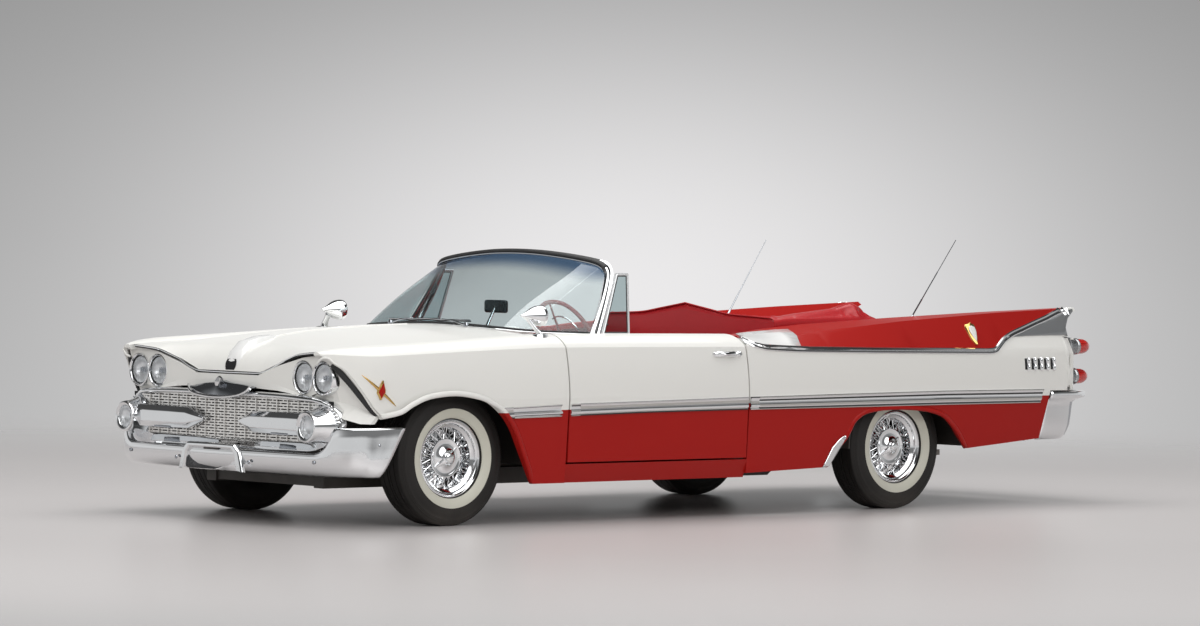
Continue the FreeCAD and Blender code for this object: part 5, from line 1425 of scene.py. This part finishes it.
# %% Dash mirror
black_plastic = plain_finish("mirror_back", (0.012, 0.015, 0.018), (0.022, 0.026, 0.030), rough=0.28, grain=120,
                             bump=0.04)
bm = bmesh.new()
rounded(bm, block(bm, (1014, 0, 1054), (30, 168, 66)), 0.0145, 5, 0.55)
finished("dash_mirror_back", bm, black_plastic)
cords("dash_mirror_stalk", [[spot(x, 0, z) for x, z in ((955, 955), (970, 985), (990, 1020), (1003, 1046))]],
      [9, 8, 8, 7], chrome, steps=16)

# %% Vent windows
bright_trim = plain_finish("polished_trim", (0.86, 0.87, 0.88), (0.72, 0.74, 0.76), rough=0.2, grain=60, metal=0.5)
# Outlines of the frame's and the seal's middle lines on the door: station, z. Their plane leans inward.
VENT = [(1072, 930), (1222, 1232), (1296, 1232), (1248, 930)]
VENT_SEAL = [(1088, 940), (1230, 1222), (1286, 1222), (1240, 940)]
VENT_LEAN = math.tan(math.radians(13))


def on_vent(side, station, z, out=0.0):
    """A place in a vent window's plane, moved outward by millimetres."""
    return spot(station, side * (758 - (z - 924) * VENT_LEAN + out), z)


def vent_lines(side, outline, out=0.0):
    """The four straight lines of an outline in a vent window's plane."""
    corners = [on_vent(side, *corner, out) for corner in outline]
    return list(zip(corners, corners[1:] + corners[:1]))


for side, hand in SIDES:
    body = f"{hand}_door"
    cords(f"{hand}_vent_frame", vent_lines(side, VENT), 8.0, bright_trim, body, flat=0.9,
          replaces=f"{hand}_vent_window")
    cords(f"{hand}_vent_seal", vent_lines(side, VENT_SEAL, 1), 2.6, black_rubber, body, steps=6)
    grown(f"{hand}_vent_pane", [[on_vent(side, 1086 + 143 * up + (155 - 98 * up) * across, 938 + 285 * up, 0.5)
                                 for across in (0, 0.5, 1)] for up in (0, 0.5, 1)], vent_glass, body, sharp=50, wall=4)
    bm = bmesh.new()
    rounded(bm, block(bm, (1110, side * 738, 978), (26, 12, 9)), 0.003)
    finished(f"{hand}_vent_catch", bm, chrome, body)
print("vent windows made")

# %% [markdown]
# The tail lamps are two barrels on each side: a ribbed grey sleeve with a bright ring, and a rounded red glass. They
# are turned outlines that point straight back.

# %% Tail lamps
sleeve_metal = plain_finish("ribbed_grey_metal", (0.46, 0.47, 0.48), (0.32, 0.33, 0.34), amount=0.6, rough=0.26,
                            spread=0.1, scale=10, grain=200, bump=0.05, metal=0.9)
red_glass, tree, shader = new_material("red_lamp_glass")
rings = node(tree, "ShaderNodeTexWave", {"Vector": object_place(tree), "Scale": 60.0}, wave_type="RINGS",
             rings_direction="X").outputs["Fac"]
feed(tree, shader, {"Coat Weight": 1.0, "Coat Roughness": 0.04, "Roughness": 0.12, "Subsurface Weight": 0.35,
                    "Subsurface Scale": 0.02,
                    "Base Color": mixed(tree, rings, (0.42, 0.008, 0.006), (0.62, 0.020, 0.012))})
bumped(tree, shader, rings, 0.2, 0.003)
ribs = []
for index in range(9):
    along = 12 + index * 7
    ribs += [(53 - index, along), (53 - index, along + 3.5), (50.5 - index, along + 4.2), (50.5 - index, along + 6.4)]
SLEEVE = [(46, -60), (58, -60), (60, -6), (57, 6)] + ribs + [(44, 76), (46, 82), (46, 92), (43, 96), (36, 96)]
RED_LENS = [(41, 88), (42, 110), (42, 140), (38, 160), (30, 178), (15, 189), (0, 192)]
TAIL_PLACES = [(station, side * 800, z) for station, z in ((4458, 856), (4446, 692)) for side, hand in SIDES]
turned_all("tail_lamp_sleeves", SLEEVE, TAIL_PLACES, sleeve_metal, (1, 0, 0), 40, replaces="tail_lamps")
turned_all("tail_lamp_lenses", RED_LENS, TAIL_PLACES, red_glass, (1, 0, 0), 40)
print("tail lamps:", len(TAIL_PLACES))

# %% [markdown]
# Round the lamps the quarter's sheet rolls inward in two soft lobes, which flat cuts cannot show. A copy of the
# panel is cut short, and a new skin is grown from its edge, round the corner and across behind the lamps.

# %% Rolled tail of the quarters
CUT_STATION, CUT_FOOT, CUT_TOP = 4310, 628, 914
# The rear edge of the lobes: height, station.
LOBES = [(640, 4376), (655, 4400), (675, 4412), (692, 4415), (712, 4413), (735, 4403), (755, 4392), (772, 4388),
         (790, 4392), (810, 4405), (832, 4416), (856, 4419), (880, 4414), (900, 4403), (912, 4384), (915, 4363)]
cut_x = spot(CUT_STATION, 0, 0).x


def cut(bm, faces, place, way):
    """Cut some faces along a plane."""
    bmesh.ops.bisect_plane(bm, geom=faces + list({e for f in faces for e in f.edges}), plane_co=place, plane_no=way,
                           dist=1e-6)


for side, hand in SIDES:
    quarter = f"{hand}_quarter"
    bm = bmesh.new()
    bm.from_mesh(nodes[quarter].data)
    bmesh.ops.remove_doubles(bm, verts=bm.verts, dist=1e-5)
    cut(bm, [f for f in bm.faces if max(v.co.x for v in f.verts) > cut_x], spot(CUT_STATION, 0, 0), (1, 0, 0))
    cut(bm, [f for f in bm.faces if f.calc_center_median().x > cut_x], spot(0, 0, CUT_TOP), (0, 0, 1))
    bmesh.ops.triangulate(bm, faces=[f for f in bm.faces if len(f.verts) > 4])
    gone = [f for f in bm.faces
            if f.calc_center_median().x > cut_x and CUT_FOOT < f.calc_center_median().z * 1000 < CUT_TOP]
    bmesh.ops.delete(bm, geom=gone, context="FACES")
    finished(f"{quarter}_panel", bm, fin_paint, sharp=30, outward=False, replaces=quarter)
    rows = []
    for z, station in LOBES:
        outer_y = abs(on_side(quarter, side, CUT_STATION, z).y) * 1000
        turns = [math.radians(step / 8 * 90) for step in range(9)]
        rows.append([spot(CUT_STATION + (station - CUT_STATION) * math.sin(turn) ** 0.9,
                          side * (outer_y - 118 * (1 - math.cos(turn)) ** 0.8), z) for turn in turns]
                    + [spot(station, side * y, z) for y in (790, 740, 690)])
    grown(f"{hand}_tail_skin", rows, white_paint, sharp=70, thick=3)
print("tails rolled")

# %% [markdown]
# Five small vents decorate the quarter: a half-round bright bar with a step, and in front of it a black sheet that
# paints the shadow in its slot.

# %% Vents on the quarters
# Up the bar: height, share of its full size.
VENT_BAR = [(730, 0.4), (734, 0.9), (744, 1.0), (760, 1.0), (767, 0.75), (774, 1.0), (790, 1.0), (800, 0.9),
            (804, 0.4)]
for side, hand in SIDES:
    quarter = f"{hand}_quarter"
    bright, dark = bmesh.new(), bmesh.new()
    for station in range(3992, 4201, 52):
        grow(bright, [[on_side(quarter, side, station + 12 * math.cos(math.radians(turn)) * size, z,
                               -2 + 15 * size * math.sin(math.radians(turn))) for turn in range(0, 181, 20)]
                      for z, size in VENT_BAR])
        # Each slot is a thin black sheet on the panel: painted shadow.
        grow(dark, [[on_side(quarter, side, station + x, z, 1.0) for x in (-27, -22, -17, -11)]
                    for z in (737, 752, 767, 782, 797)])
    finished(f"{quarter}_vents", bright, chrome, sharp=50)
    finished(f"{quarter}_vent_slots", dark, shadow_black, thick=2, offset=0)

# %% [markdown]
# The rear bumper is a pressing like the front one, with a flat top flange, a deep face and a foot that tucks under.

# %% Rear bumper
REAR_PLAN = [(4120, 974, 0, -0.4), (4240, 974, 0, -0.4), (4400, 962, -0.2, -0.5), (4490, 928, -0.45, -0.6),
             (4548, 886, -0.7, -0.6), (4590, 820, -0.9, -0.4), (4613, 750, -1, -0.2), (4645, 590, -1, -0.1),
             (4668, 420, -1, 0), (4684, 260, -1, 0), (4692, 130, -1, 0), (4694, 0, -1, 0)]
REAR_TOP = 612


def rear_section(top):
    """Height and inset up a section whose upper edge is at top."""
    return [(352, 190), (362, 168), (374, 148), (400, 126), (430, 108), (480, 96), (530, 88), (556, 82), (566, 66),
            (574, 38), (580, 12), (586, 3), (600, 0), (top - 2, 4), (top + 2, 12), (top + 3, 30), (top, 60)]


bm = grow(bmesh.new(), bumper_rows(REAR_PLAN, lambda y: REAR_TOP, rear_section, [(352, 4128), (REAR_TOP, 4176)],
                                   4300))
bmesh.ops.remove_doubles(bm, verts=bm.verts, dist=2e-5)
bmesh.ops.recalc_face_normals(bm, faces=bm.faces)
# Rearward faces in the hollow of the face take the shaded chrome: a painted dark reflection.
for face in bm.faces:
    face.material_index = int(face.normal.x > 0.30 and 0.37 < face.calc_center_median().z < 0.575)
blade = finished("rear_bumper_blade", bm, [chrome, dark_chrome], thick=4, replaces="rear_bumper")
print("rear bumper faces:", len(blade.data.polygons))

# %% [markdown]
# Door handles are bright bows with a push button behind them. A bow's ends spread into two small feet.

# %% Door handles
# Along the bow: station, half height, inner lift, outer lift.
BOW = [(1640, 3, 0, 4), (1648, 12, -2, 12), (1664, 16, 0, 22), (1690, 14, 12, 31), (1720, 13, 16, 34),
       (1750, 13, 16, 34), (1776, 15, 10, 31), (1790, 17, 0, 24), (1800, 14, -2, 12), (1806, 4, 0, 4)]
HANDLE_Z = 832
for side, hand in SIDES:
    body = f"{hand}_door"
    rows = []
    for station, half, low, proud in BOW:
        middle = on_side(body, side, station, HANDLE_Z)
        rows.append([middle + Vector((0, side * out / 1000, half * up / 1000)) for up, out in
                     ((-1, low + 2), (-0.7, proud * 0.86), (0, proud), (0.7, proud * 0.86), (1, low + 2),
                      (0.5, low - 2), (-0.5, low - 2))])
    grown(f"{hand}_door_handle", rows, chrome, body, closed=True, sharp=50)
    button = turned([(0, 22), (9, 21.5), (12, 18), (12, 8), (15, 6), (16, -4)], 28)
    button.transform(pointing(on_side(body, side, 1822, HANDLE_Z), (0, side, 0.08)))
    finished(f"{hand}_door_button", button, chrome, body)
print("handles made")

# %% [markdown]
# Each front fender carries a mirror: a foot, a thin flattened stalk, and a turned bullet whose glass faces the
# driver.

# %% Fender mirrors
BULLET = [(0, 112), (5, 104), (14, 84), (27, 62), (40, 40), (49, 18), (53, -4), (54, -22), (51, -27), (46, -28),
          (44, -24)]
mirror_glass = plain_finish("mirror_glass", (0.90, 0.92, 0.93), (0.80, 0.83, 0.85), rough=0.02, spread=0.02, grain=30,
                            bump=0.004, metal=1.0)
bm, glass_bm = bmesh.new(), bmesh.new()
for side, hand in SIDES:
    foot, top = on_top(f"front_{hand}_fender", 562, side * 862), spot(548, side * 798, 996)
    cord(bm, [foot + Vector((0.010, 0, -0.006)), foot.lerp(top, 0.35), foot.lerp(top, 0.7), top], [26, 18, 15, 18],
         0.55, 12)
    added(bm, turned([(0, 9), (24, 8), (36, 4), (40, -12)], 28),
          Matrix.Translation(foot) @ Matrix.Diagonal((1.25, 0.75, 1, 1)))
    head = pointing(spot(604, side * 794, 1022), (-1, -side * 0.05, 0.02))
    added(bm, turned(BULLET, 36), head)
    added(glass_bm, turned([(0, -25), (24, -24.6), (44.5, -24)], 36), head)
cap(bm)
finished("fender_mirrors", bm, chrome, sharp=40, replaces="mirrors")
finished("fender_mirror_glasses", glass_bm, mirror_glass)
print("mirrors made")

# %% [markdown]
# Two aerials lean back from the rear deck. Each is a telescopic rod in a small cone.

# %% Aerials
CONE = [(24, -8), (23, 2), (16, 10), (9, 26), (7, 44), (6, 62), (0, 64)]
bm = bmesh.new()
for foot, tip in ((spot(3330, -694, 975), spot(3661, -728, 1433)), (spot(3306, 700, 975), spot(3640, 728, 1421))):
    cord(bm, [foot.lerp(tip, share) for share in (0, 0.30, 0.301, 0.62, 0.621, 1.0)], [4.2, 4.2, 3.0, 3.0, 2.0, 2.0])
    added(bm, turned(CONE, 20), pointing(foot, tip - foot))
cap(bm)
finished("aerials", bm, dark_chrome, replaces="antennas")
print("aerials made")

# %% [markdown]
# Ornaments on the sides are kept generic: a slim gold dart with a red lozenge on each front fender, and a bare gilt
# shield with a white face on each fin.

# %% Side ornaments
gold = plain_finish("gold_plate", (0.72, 0.47, 0.16), (0.56, 0.34, 0.10), rough=0.22, spread=0.1, scale=20, grain=120,
                    bump=0.03, metal=1.0)
# The dart's two ends: station, z. Along it: share of the way, half width, lift.
DART_START, DART_END = Vector((-617, 744)), Vector((-435, 592))
DART = [(0, 0.8, 2), (0.12, 4, 6), (0.3, 6.5, 9), (0.5, 8, 11), (0.7, 6, 9), (0.88, 4.5, 7), (1, 0.8, 2)]
# Down each ornament: z, half width. Across it: share of the half width, lift.
LOZENGE = [(52, 2), (30, 12), (6, 23), (-8, 24), (-24, 12), (-40, 2)]
LOZENGE_ROUND = [(-1, -2), (-0.8, 0), (0, 1), (0.8, 0), (1, -2)]
SHIELD_FACE = [(984, 6), (978, 34), (962, 40), (938, 34), (910, 27), (888, 17), (870, 4)]
SHIELD_ROUND = [(-1, -0.6), (-0.85, 0.3), (-0.4, 0.8), (0, 1), (0.4, 0.8), (0.85, 0.3), (1, -0.6)]
SHIELD_INSET = [(968, 4), (960, 22), (940, 24), (920, 18), (902, 10), (886, 2)]
way = (DART_END - DART_START).normalized()
for side, hand in SIDES:
    fender, quarter = f"front_{hand}_fender", f"{hand}_quarter"
    rows = []
    for share, half, lift in DART:
        x, z = DART_START.lerp(DART_END, share)
        rows.append([on_side(fender, side, x - way.y * half * u, z + way.x * half * u, lift * v - 1)
                     for u, v in ((-1, 0), (-0.8, 0.7), (0, 1), (0.8, 0.7), (1, 0))])
    grown(f"{hand}_fender_dart", rows, gold, sharp=25)
    for name, scale, base, material in (("mount", 1.0, 8, gold), ("lozenge", 0.74, 13, red_paint)):
        grown(f"{hand}_fender_{name}", [[on_side(fender, side, -520 + half * scale * u + z * 0.12, 664 + z * scale,
                                                 base + 4 * v) for u, v in LOZENGE_ROUND] for z, half in LOZENGE],
              material, sharp=25)
    for name, outline, across, base, rise, material, settings in (
        ("fin_shield", SHIELD_FACE, SHIELD_ROUND, 4, 9, gold, {"sharp": 25}),
        ("fin_shield_inset", SHIELD_INSET, [(u, 0) for u in (-1, -0.5, 0, 0.5, 1)], 13, 0, white_paint, {"thick": 2}),
    ):
        grown(f"{hand}_{name}", [[on_side(quarter, side, 3606 + half * u + (z - 926) * 0.06, z, base + rise * v)
                                  for u, v in across] for z, half in outline], material, **settings)
print("ornaments made")

# %% [markdown]
# The cabin is trimmed in red vinyl with a fine hide grain. Vinyl is a soft coat over cloth, so it has a broad, low
# gloss. The creases between its grains are darkened with painted shade.

# %% Vinyl
def vinyl(name, colour, shade, scale=1.0, coat=0.25):
    """A grained vinyl, with painted shade in the creases between its grains."""
    material, tree, shader, place, cloudy = finish_of(
        name, colour, shade, amount=0.7, rough=0.42, spread=0.12, scale=5, grain=300, bump=0.0, coat=coat,
        coat_rough=0.2, specular=0.25)
    hide = effect(tree, hide_grain, {"Vector": place, "Scale": 260.0 * scale, "Depth": 0.35})
    bumped(tree, shader, hide["Height"], 0.35, 0.0012)
    # The grain's creases are darkened towards the shade colour: painted shade.
    feed(tree, shader, {"Base Color": mixed(tree, hide["Crease"], cloudy, tuple(c * 0.45 for c in shade))})
    return material


seat_vinyl = vinyl("seat_vinyl", (0.42, 0.016, 0.020), (0.32, 0.012, 0.016))
cover_vinyl = vinyl("cover_vinyl", (0.50, 0.009, 0.014), (0.38, 0.007, 0.012), scale=0.8, coat=0.4)
pale_vinyl = vinyl("pale_vinyl", (0.70, 0.68, 0.63), (0.62, 0.60, 0.55))

# %% [markdown]
# Soft trim is made the way it behaves: a closed form is covered with an even mesh, the cloth solver blows it up
# from inside, and no point may move further than the stuffing would let it. The result is kept as the mesh.

# %% Padding
def kept_shape(piece):
    """Apply every modifier of a piece to its mesh."""
    shaped = piece.evaluated_get(bpy.context.evaluated_depsgraph_get())
    mesh = bpy.data.meshes.new_from_object(shaped)
    piece.modifiers.clear()
    old = piece.data
    piece.data = mesh
    bpy.data.meshes.remove(old)


def settled(piece, frames, furthest, gravity, held=(), **settings):
    """Let the cloth solver shape a piece. No point moves further than some metres, and held points stay."""
    start = [v.co.copy() for v in piece.data.vertices]
    cloth = piece.modifiers.new("cloth", "CLOTH").settings
    if held:
        piece.vertex_groups.new(name="held").add(held, 1.0, "REPLACE")
        cloth.vertex_group_mass = "held"
    cloth.effector_weights.gravity = gravity
    for key, value in settings.items():
        setattr(cloth, key, value)
    for number in range(1, frames + 1):
        bpy.context.scene.frame_set(number)
    kept_shape(piece)
    for vertex, place in zip(piece.data.vertices, start):
        moved = vertex.co - place
        if moved.length > furthest:
            vertex.co = place + moved.normalized() * furthest
    bpy.context.scene.frame_set(1)


def trimmed(piece, material):
    """Give a cloth piece its vinyl, and let it ride on the body."""
    piece.data.materials.clear()
    piece.data.materials.append(material)
    piece.data.shade_smooth()
    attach(piece, "body")


def padded(bm, name):
    """A cushion: an even mesh swollen by the cloth solver."""
    bmesh.ops.remove_doubles(bm, verts=bm.verts, dist=1e-5)
    bmesh.ops.recalc_face_normals(bm, faces=bm.faces)
    piece = object_of(name, bm)
    with_modifier(piece, "REMESH", mode="VOXEL", voxel_size=0.013)
    kept_shape(piece)
    settled(piece, 20, 0.020, 0, use_pressure=True, uniform_pressure_force=4.0, quality=5)
    bm = bmesh.new()
    bm.from_mesh(piece.data)
    for index in range(4):
        bmesh.ops.smooth_vert(bm, verts=bm.verts, factor=0.5, use_axis_x=True, use_axis_y=True, use_axis_z=True)
    bm.to_mesh(piece.data)
    bm.free()
    trimmed(piece, seat_vinyl)
    return piece


def prism(outline, middle, half, taper=0.10):
    """A closed form: a side outline of (station, z) swept across the car, a little smaller at its two ends."""
    centre_x, centre_z = (sum(values) / len(outline) for values in zip(*outline))
    rows = []
    for share in (-1, -0.94, -0.4, 0, 0.4, 0.94, 1):
        size = 1 - taper * (abs(share) > 0.95)
        rows.append([spot(centre_x + (x - centre_x) * size, middle + share * half, centre_z + (z - centre_z) * size)
                     for x, z in outline])
    bm = grow(bmesh.new(), rows, closed=True)
    cap(bm)
    return bm


# %% Seats
SEATS = [
    # name, half width, cushion outline, back outline
    ("front", 676, [(1196, 372), (1192, 476), (1222, 500), (1540, 478), (1548, 372)],
     [(1572, 420), (1612, 800), (1640, 842), (1690, 842), (1722, 812), (1696, 330), (1580, 330)]),
    ("rear", 566, [(1976, 372), (1972, 466), (1998, 488), (2172, 470), (2178, 372)],
     [(2204, 420), (2226, 786), (2250, 824), (2300, 824), (2334, 796), (2322, 330), (2210, 330)]),
]
piping = []
for name, half, cushion, back_rest in SEATS:
    for side, hand in SIDES:
        for part, outline in (("cushion", cushion), ("back", back_rest)):
            padded(prism(outline, side * (half / 2 + 4), half / 2 - 12), f"{name}_{hand}_{part}")
        # Piping along the cushion's front edge.
        edge_x, edge_z = cushion[2]
        piping.append([spot(edge_x - 12, side * (8 + (half - 30) * share), edge_z + 8 - 10 * abs(share - 0.5))
                       for share in (0.04, 0.25, 0.5, 0.75, 0.96)])
    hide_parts(f"{name}_seat")
cords("seat_piping", piping, 4.5, pale_vinyl)
print("seats padded")

# %% [markdown]
# The folded top lies under a vinyl cover: one sheet, held at the bows and buttoned down round its rim. As it is cut
# a little too long between them, it settles into the soft folds a real cover has.

# %% Boot cover
# Sections across the car: station, then the heights of seven half points from the middle outward.
COVER_Y = [0, 200, 330, 470, 600, 680, 687]
COVER = [
    (2337, COVER_Y[:5] + [676, 687], [884] * 7),
    (2338, COVER_Y, [980, 966, 956, 950, 946, 942, 884]),
    (2344, COVER_Y[:5] + [682, 687], [1074, 1042, 1022, 1014, 1008, 996, 926]),
    (2420, COVER_Y[:4] + [612, 682, 687], [1042, 1022, 1008, 1010, 1032, 1002, 928]),
    (2560, COVER_Y[:4] + [614, 682, 687], [1010, 1003, 999, 1014, 1050, 1004, 929]),
    (2740, COVER_Y[:4] + [612, 682, 687], [1002, 998, 1000, 1030, 1067, 1006, 928]),
    (2990, COVER_Y[:4] + [606, 682, 687], [1006, 1006, 1014, 1056, 1088, 1002, 924]),
    (3050, COVER_Y[:4] + [606, 682, 687], [1006, 1006, 1012, 1040, 1064, 991, 921]),
    (3110, COVER_Y[:4] + [636, 682, 687], [1002, 1002, 1004, 1014, 1022, 986, 916]),
    (3160, COVER_Y[:4] + [650, 682, 687], [994, 994, 992, 990, 990, 978, 908]),
]
HELD_STATIONS = (2337, 2344, 2990, 3160)
FRONT_ROWS = 5


def cover_section(station):
    """Whole section across the car at a station, straight between the table's rows."""
    values = between([(s, *y_values, *z_values) for s, y_values, z_values in COVER], station)
    fine = smooth_line([(station, y, z) for y, z in zip(values[:7], values[7:])], 8)
    # The bows lie less high under the right side, as the top was folded from the left.
    flatter = [Vector((p.x, p.y, p.z if station < 2420 else min(p.z, 1008 + 0.45 * (p.z - 1008)))) for p in fine]
    return [Vector((p.x, -p.y, p.z)) for p in reversed(fine[1:])] + flatter


# The front drops straight down, so its rows are spaced by height there.
stations = [2337, 2337.5, 2338, 2340, 2342, 2344, 2352, 2362, *range(2375, 3161, 12), 3160]
places = [[spot(*p) for p in cover_section(station)] for station in stations]
cover = object_of("boot_cover_sheet", grow(bmesh.new(), places))
cut_area = sum(polygon.area for polygon in cover.data.polygons)
held = [v.index for v in cover.data.vertices if abs(v.co.y) > 0.676
        or min(abs((v.co.x - front_axle) * 1000 - station) for station in HELD_STATIONS) < 4]
settled(cover, 25, 0.018, 0.25, held, shrink_min=-0.030, quality=6, bending_stiffness=0.6, tension_stiffness=12)
trimmed(cover, cover_vinyl)
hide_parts("boot_cover")
print("cover area", round(sum(polygon.area for polygon in cover.data.polygons), 3), "from", round(cut_area, 3))
# Piping runs round the cover's rear edge, across its front row and along both sides.
cords("boot_cover_piping", [
    [p + Vector((0, 0, 0.002)) for p in places[-1]], [p + Vector((-0.001, 0, 0.003)) for p in places[FRONT_ROWS]],
    [row[0] for row in places[FRONT_ROWS:]], [row[-1] for row in places[FRONT_ROWS:]],
], 4.5, cover_vinyl)

# %% [markdown]
# The steering wheel has a thin rim, two flat spokes, a domed hub and a bright half ring for the horn.

# %% Steering wheel
rim_plastic = plain_finish("rim_plastic", (0.30, 0.016, 0.016), (0.22, 0.012, 0.012), rough=0.25, coat=0.6, grain=160,
                           bump=0.03)
wheel_low, wheel_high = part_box("steering_wheel")
wheel_centre = (wheel_low + wheel_high) / 2
column_way = spot(1128, -380, 889) - spot(800, -380, 730)
on_column = Matrix.Translation(wheel_centre) @ column_way.to_track_quat("Z", "X").to_matrix().to_4x4()


def on_arc(radius, degrees, height=0.0):
    """A place about the wheel's axis, from millimetres and degrees."""
    return Vector((radius * math.cos(math.radians(degrees)), radius * math.sin(math.radians(degrees)), height)) / 1000


def steering_part(name, bm, material, **settings):
    """Put a part on the steering column."""
    bm.transform(on_column)
    finished(name, bm, material, "steering_wheel", **settings)


rim = turned([(204 + 1000 * p.x, 1000 * p.y) for p in (on_arc(11, a) for a in range(0, 361, 30))], 72)
steering_part("steering_rim", rim, rim_plastic, replaces="steering_wheel")
bm = turned([(0, 6), (18, 5), (34, 0), (44, -10), (48, -26), (40, -44), (26, -60), (24, -90)], 40)
for turn in (-10, 190):
    cord(bm, [on_arc(36 + 166 * share, turn, -22 + 20 * share) for share in (0, 0.3, 0.65, 1)], [13, 11, 9, 8],
         0.45, 10)
cap(bm)
steering_part("steering_spokes", bm, rim_plastic)
bm = bmesh.new()
cord(bm, [on_arc(118, a, 4) for a in range(-30, 211, 12)], 4.2)
turned([(0, 12), (16, 11), (22, 7), (23, 2)], 32, bm)
cap(bm)
steering_part("horn_ring", bm, chrome)
print("steering wheel centre", [round(v, 3) for v in wheel_centre])

# %% [markdown]
# The dashboard is painted metal under a darker pad. In front of the driver stands an oval bezel with plain tick marks
# on a black face. Knobs and a grille lie to its right, and a bright strip runs from door to door.

# %% Dashboard
pad_vinyl = vinyl("dash_pad_vinyl", (0.060, 0.012, 0.013), (0.040, 0.009, 0.010))
dash_red = plain_finish("dash_paint", RED, RED_SHADE, rough=0.30, coat=0.3, bump=0.015, grain=220, specular=0.15)
dial_face = plain_finish("dial_face", (0.015, 0.016, 0.018), (0.03, 0.03, 0.033), rough=0.45, grain=100, bump=0.03)
bm = bmesh.new()
bm.from_mesh(nodes["dashboard"].data)
bmesh.ops.delete(bm, geom=[v for v in bm.verts if v.co.z > 0.945], context="VERTS")
finished("dash_panel", bm, dash_red, sharp=30, outward=False, replaces="dashboard")
# Sections from front to back: station, z.
PAD = [(646, 900), (646, 908), (700, 920), (770, 928), (820, 926), (848, 910), (858, 886), (850, 874)]
STRIP_SECTION = [(849, 792), (856, 794), (858, 802), (854, 810), (849, 810)]
grown("dash_pad", [[spot(x, y, z) for x, z in PAD] for y in range(-680, 681, 85)], pad_vinyl, sharp=60, wall=3)
grown("dash_strip", [[spot(x, y, z) for x, z in STRIP_SECTION] for y in range(-676, 677, 104)], chrome, sharp=60,
      wall=2)

# %% Dials and knobs
BACKWARD = (1, 0, 0)
to_driver = pointing((0, 0, 0), BACKWARD)
bezels, faces, ticks, bars = bmesh.new(), bmesh.new(), bmesh.new(), bmesh.new()
for y, z, wide in ((-380, 852, 1.9), (-190, 846, 1.0), (-570, 846, 1.0)):
    stretch = Matrix.Translation(spot(852, y, z)) @ Matrix.Diagonal((1, wide, 0.8, 1)) @ to_driver
    added(bezels, turned([(40, -4), (41, 8), (45, 12), (49, 8), (50, -6)], 48), stretch)
    added(faces, turned([(0, 2), (20, 2), (41, 2)], 48), stretch)
    for degrees in range(-120, 121, 20):
        mark = bmesh.new()
        bmesh.ops.create_cube(mark, size=1.0, matrix=Matrix.Translation((0, 0.034, 0.003))
                              @ Matrix.Diagonal((0.0015, 0.007, 0.0006, 1)))
        added(ticks, mark, stretch @ Matrix.Rotation(math.radians(degrees), 4, "Z"))
for index in range(11):
    block(bars, (856, 230, 822 + index * 5), (6, 150, 2.2))
finished("dial_bezels", bezels, chrome)
finished("dial_faces", faces, dial_face, wall=1)
finished("dial_ticks", ticks, pale_vinyl, slot="white_paint")
turned_all("dash_knobs", [(0, 26), (8, 25), (11, 20), (10, 10), (6, 8), (6, -8)], [
    (850, y, z) for y, z in ((-80, 842), (-20, 842), (40, 842), (100, 842), (-480, 806), (-280, 806))
], chrome, BACKWARD, 24)
finished("dash_speaker_bars", bars, chrome, sharp=20)
print("dashboard made")

# %% [markdown]
# Each door has a card inside, pressed over ribs, with a pale band, an armrest and a bright window winder.

# %% Door cards
INNER_Y = 784
# Up the card: z, depth, share of the flutes.
CARD = [(352, 0, 0), (358, 6, 0.3), (400, 7, 1), (520, 7, 1), (640, 7, 1), (652, 8, 0.2), (660, 9, 0), (780, 10, 0),
        (850, 10, 0), (884, 8, 0), (892, 0, 0)]
BAND = [(664, 0), (668, 2.5), (716, 4), (764, 2.5), (768, 0)]
ARMREST = [(1150, 640), (1190, 664), (1330, 668), (1480, 664), (1520, 640)]


def in_door(side, station, depth, z):
    """A place on a door's inside, some millimetres in from its card's back."""
    return spot(station, side * (INNER_Y - depth), z)


for side, hand in SIDES:
    body = f"{hand}_door"
    rows = []
    for station in range(700, 1841, 12):
        wave = 3.0 * abs(math.sin(math.pi * (station - 700) / 48))
        rows.append([in_door(side, station, depth + wave * fluted, z) for z, depth, fluted in CARD])
    grown(f"{hand}_door_card", rows, seat_vinyl, body, sharp=60, wall=2)
    grown(f"{hand}_door_band", [[in_door(side, station, 11.5 + bulge, z) for z, bulge in BAND]
                                for station in range(704, 1845, 60)], pale_vinyl, body, wall=2)
    cords(f"{hand}_armrest", [[in_door(side, x, 36, z) for x, z in ARMREST]], [16, 30, 34, 30, 16], seat_vinyl, body,
          flat=0.8, steps=16)
    bm, boss = bmesh.new(), turned([(0, 14), (12, 13), (16, 8), (18, 0)], 24)
    added(bm, boss, pointing(in_door(side, 960, 12, 590), (0, -side, 0)))
    cord(bm, [in_door(side, 960, 24, 590), in_door(side, 1000, 30, 560), in_door(side, 1040, 32, 528)], [7, 5, 5], 0.7)
    cord(bm, [in_door(side, 1040, 32, 528), in_door(side, 1040, 66, 528)], 9, steps=12)
    cap(bm)
    finished(f"{hand}_window_winder", bm, chrome, body)
print("door cards made")

# %% [markdown]
# Carpet covers the floor. Its pile is short loops, so its bump is fine and dense. It is the finish of the floor's
# upward faces only.

# %% Floor carpet
carpet, tree, shader, place, cloudy = finish_of(
    "floor_carpet", (0.105, 0.010, 0.012), (0.060, 0.007, 0.009), amount=0.9, rough=0.9, spread=0.05, scale=9,
    grain=700, bump=0.6, sheen=0.3, specular=0.2)
upward = axes(tree, node(tree, "ShaderNodeNewGeometry").outputs["Normal"])["Z"]
feed(tree, shader, {"Base Color": mixed(tree, sums(tree, "GREATER_THAN", upward, 0.3), (0.022, 0.020, 0.018), cloudy)})
dress("floor_pan", carpet)
print("floor carpeted")

# %% Sizes at the end
low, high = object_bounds()
print("visual box", [round(v, 4) for v in low], [round(v, 4) for v in high])
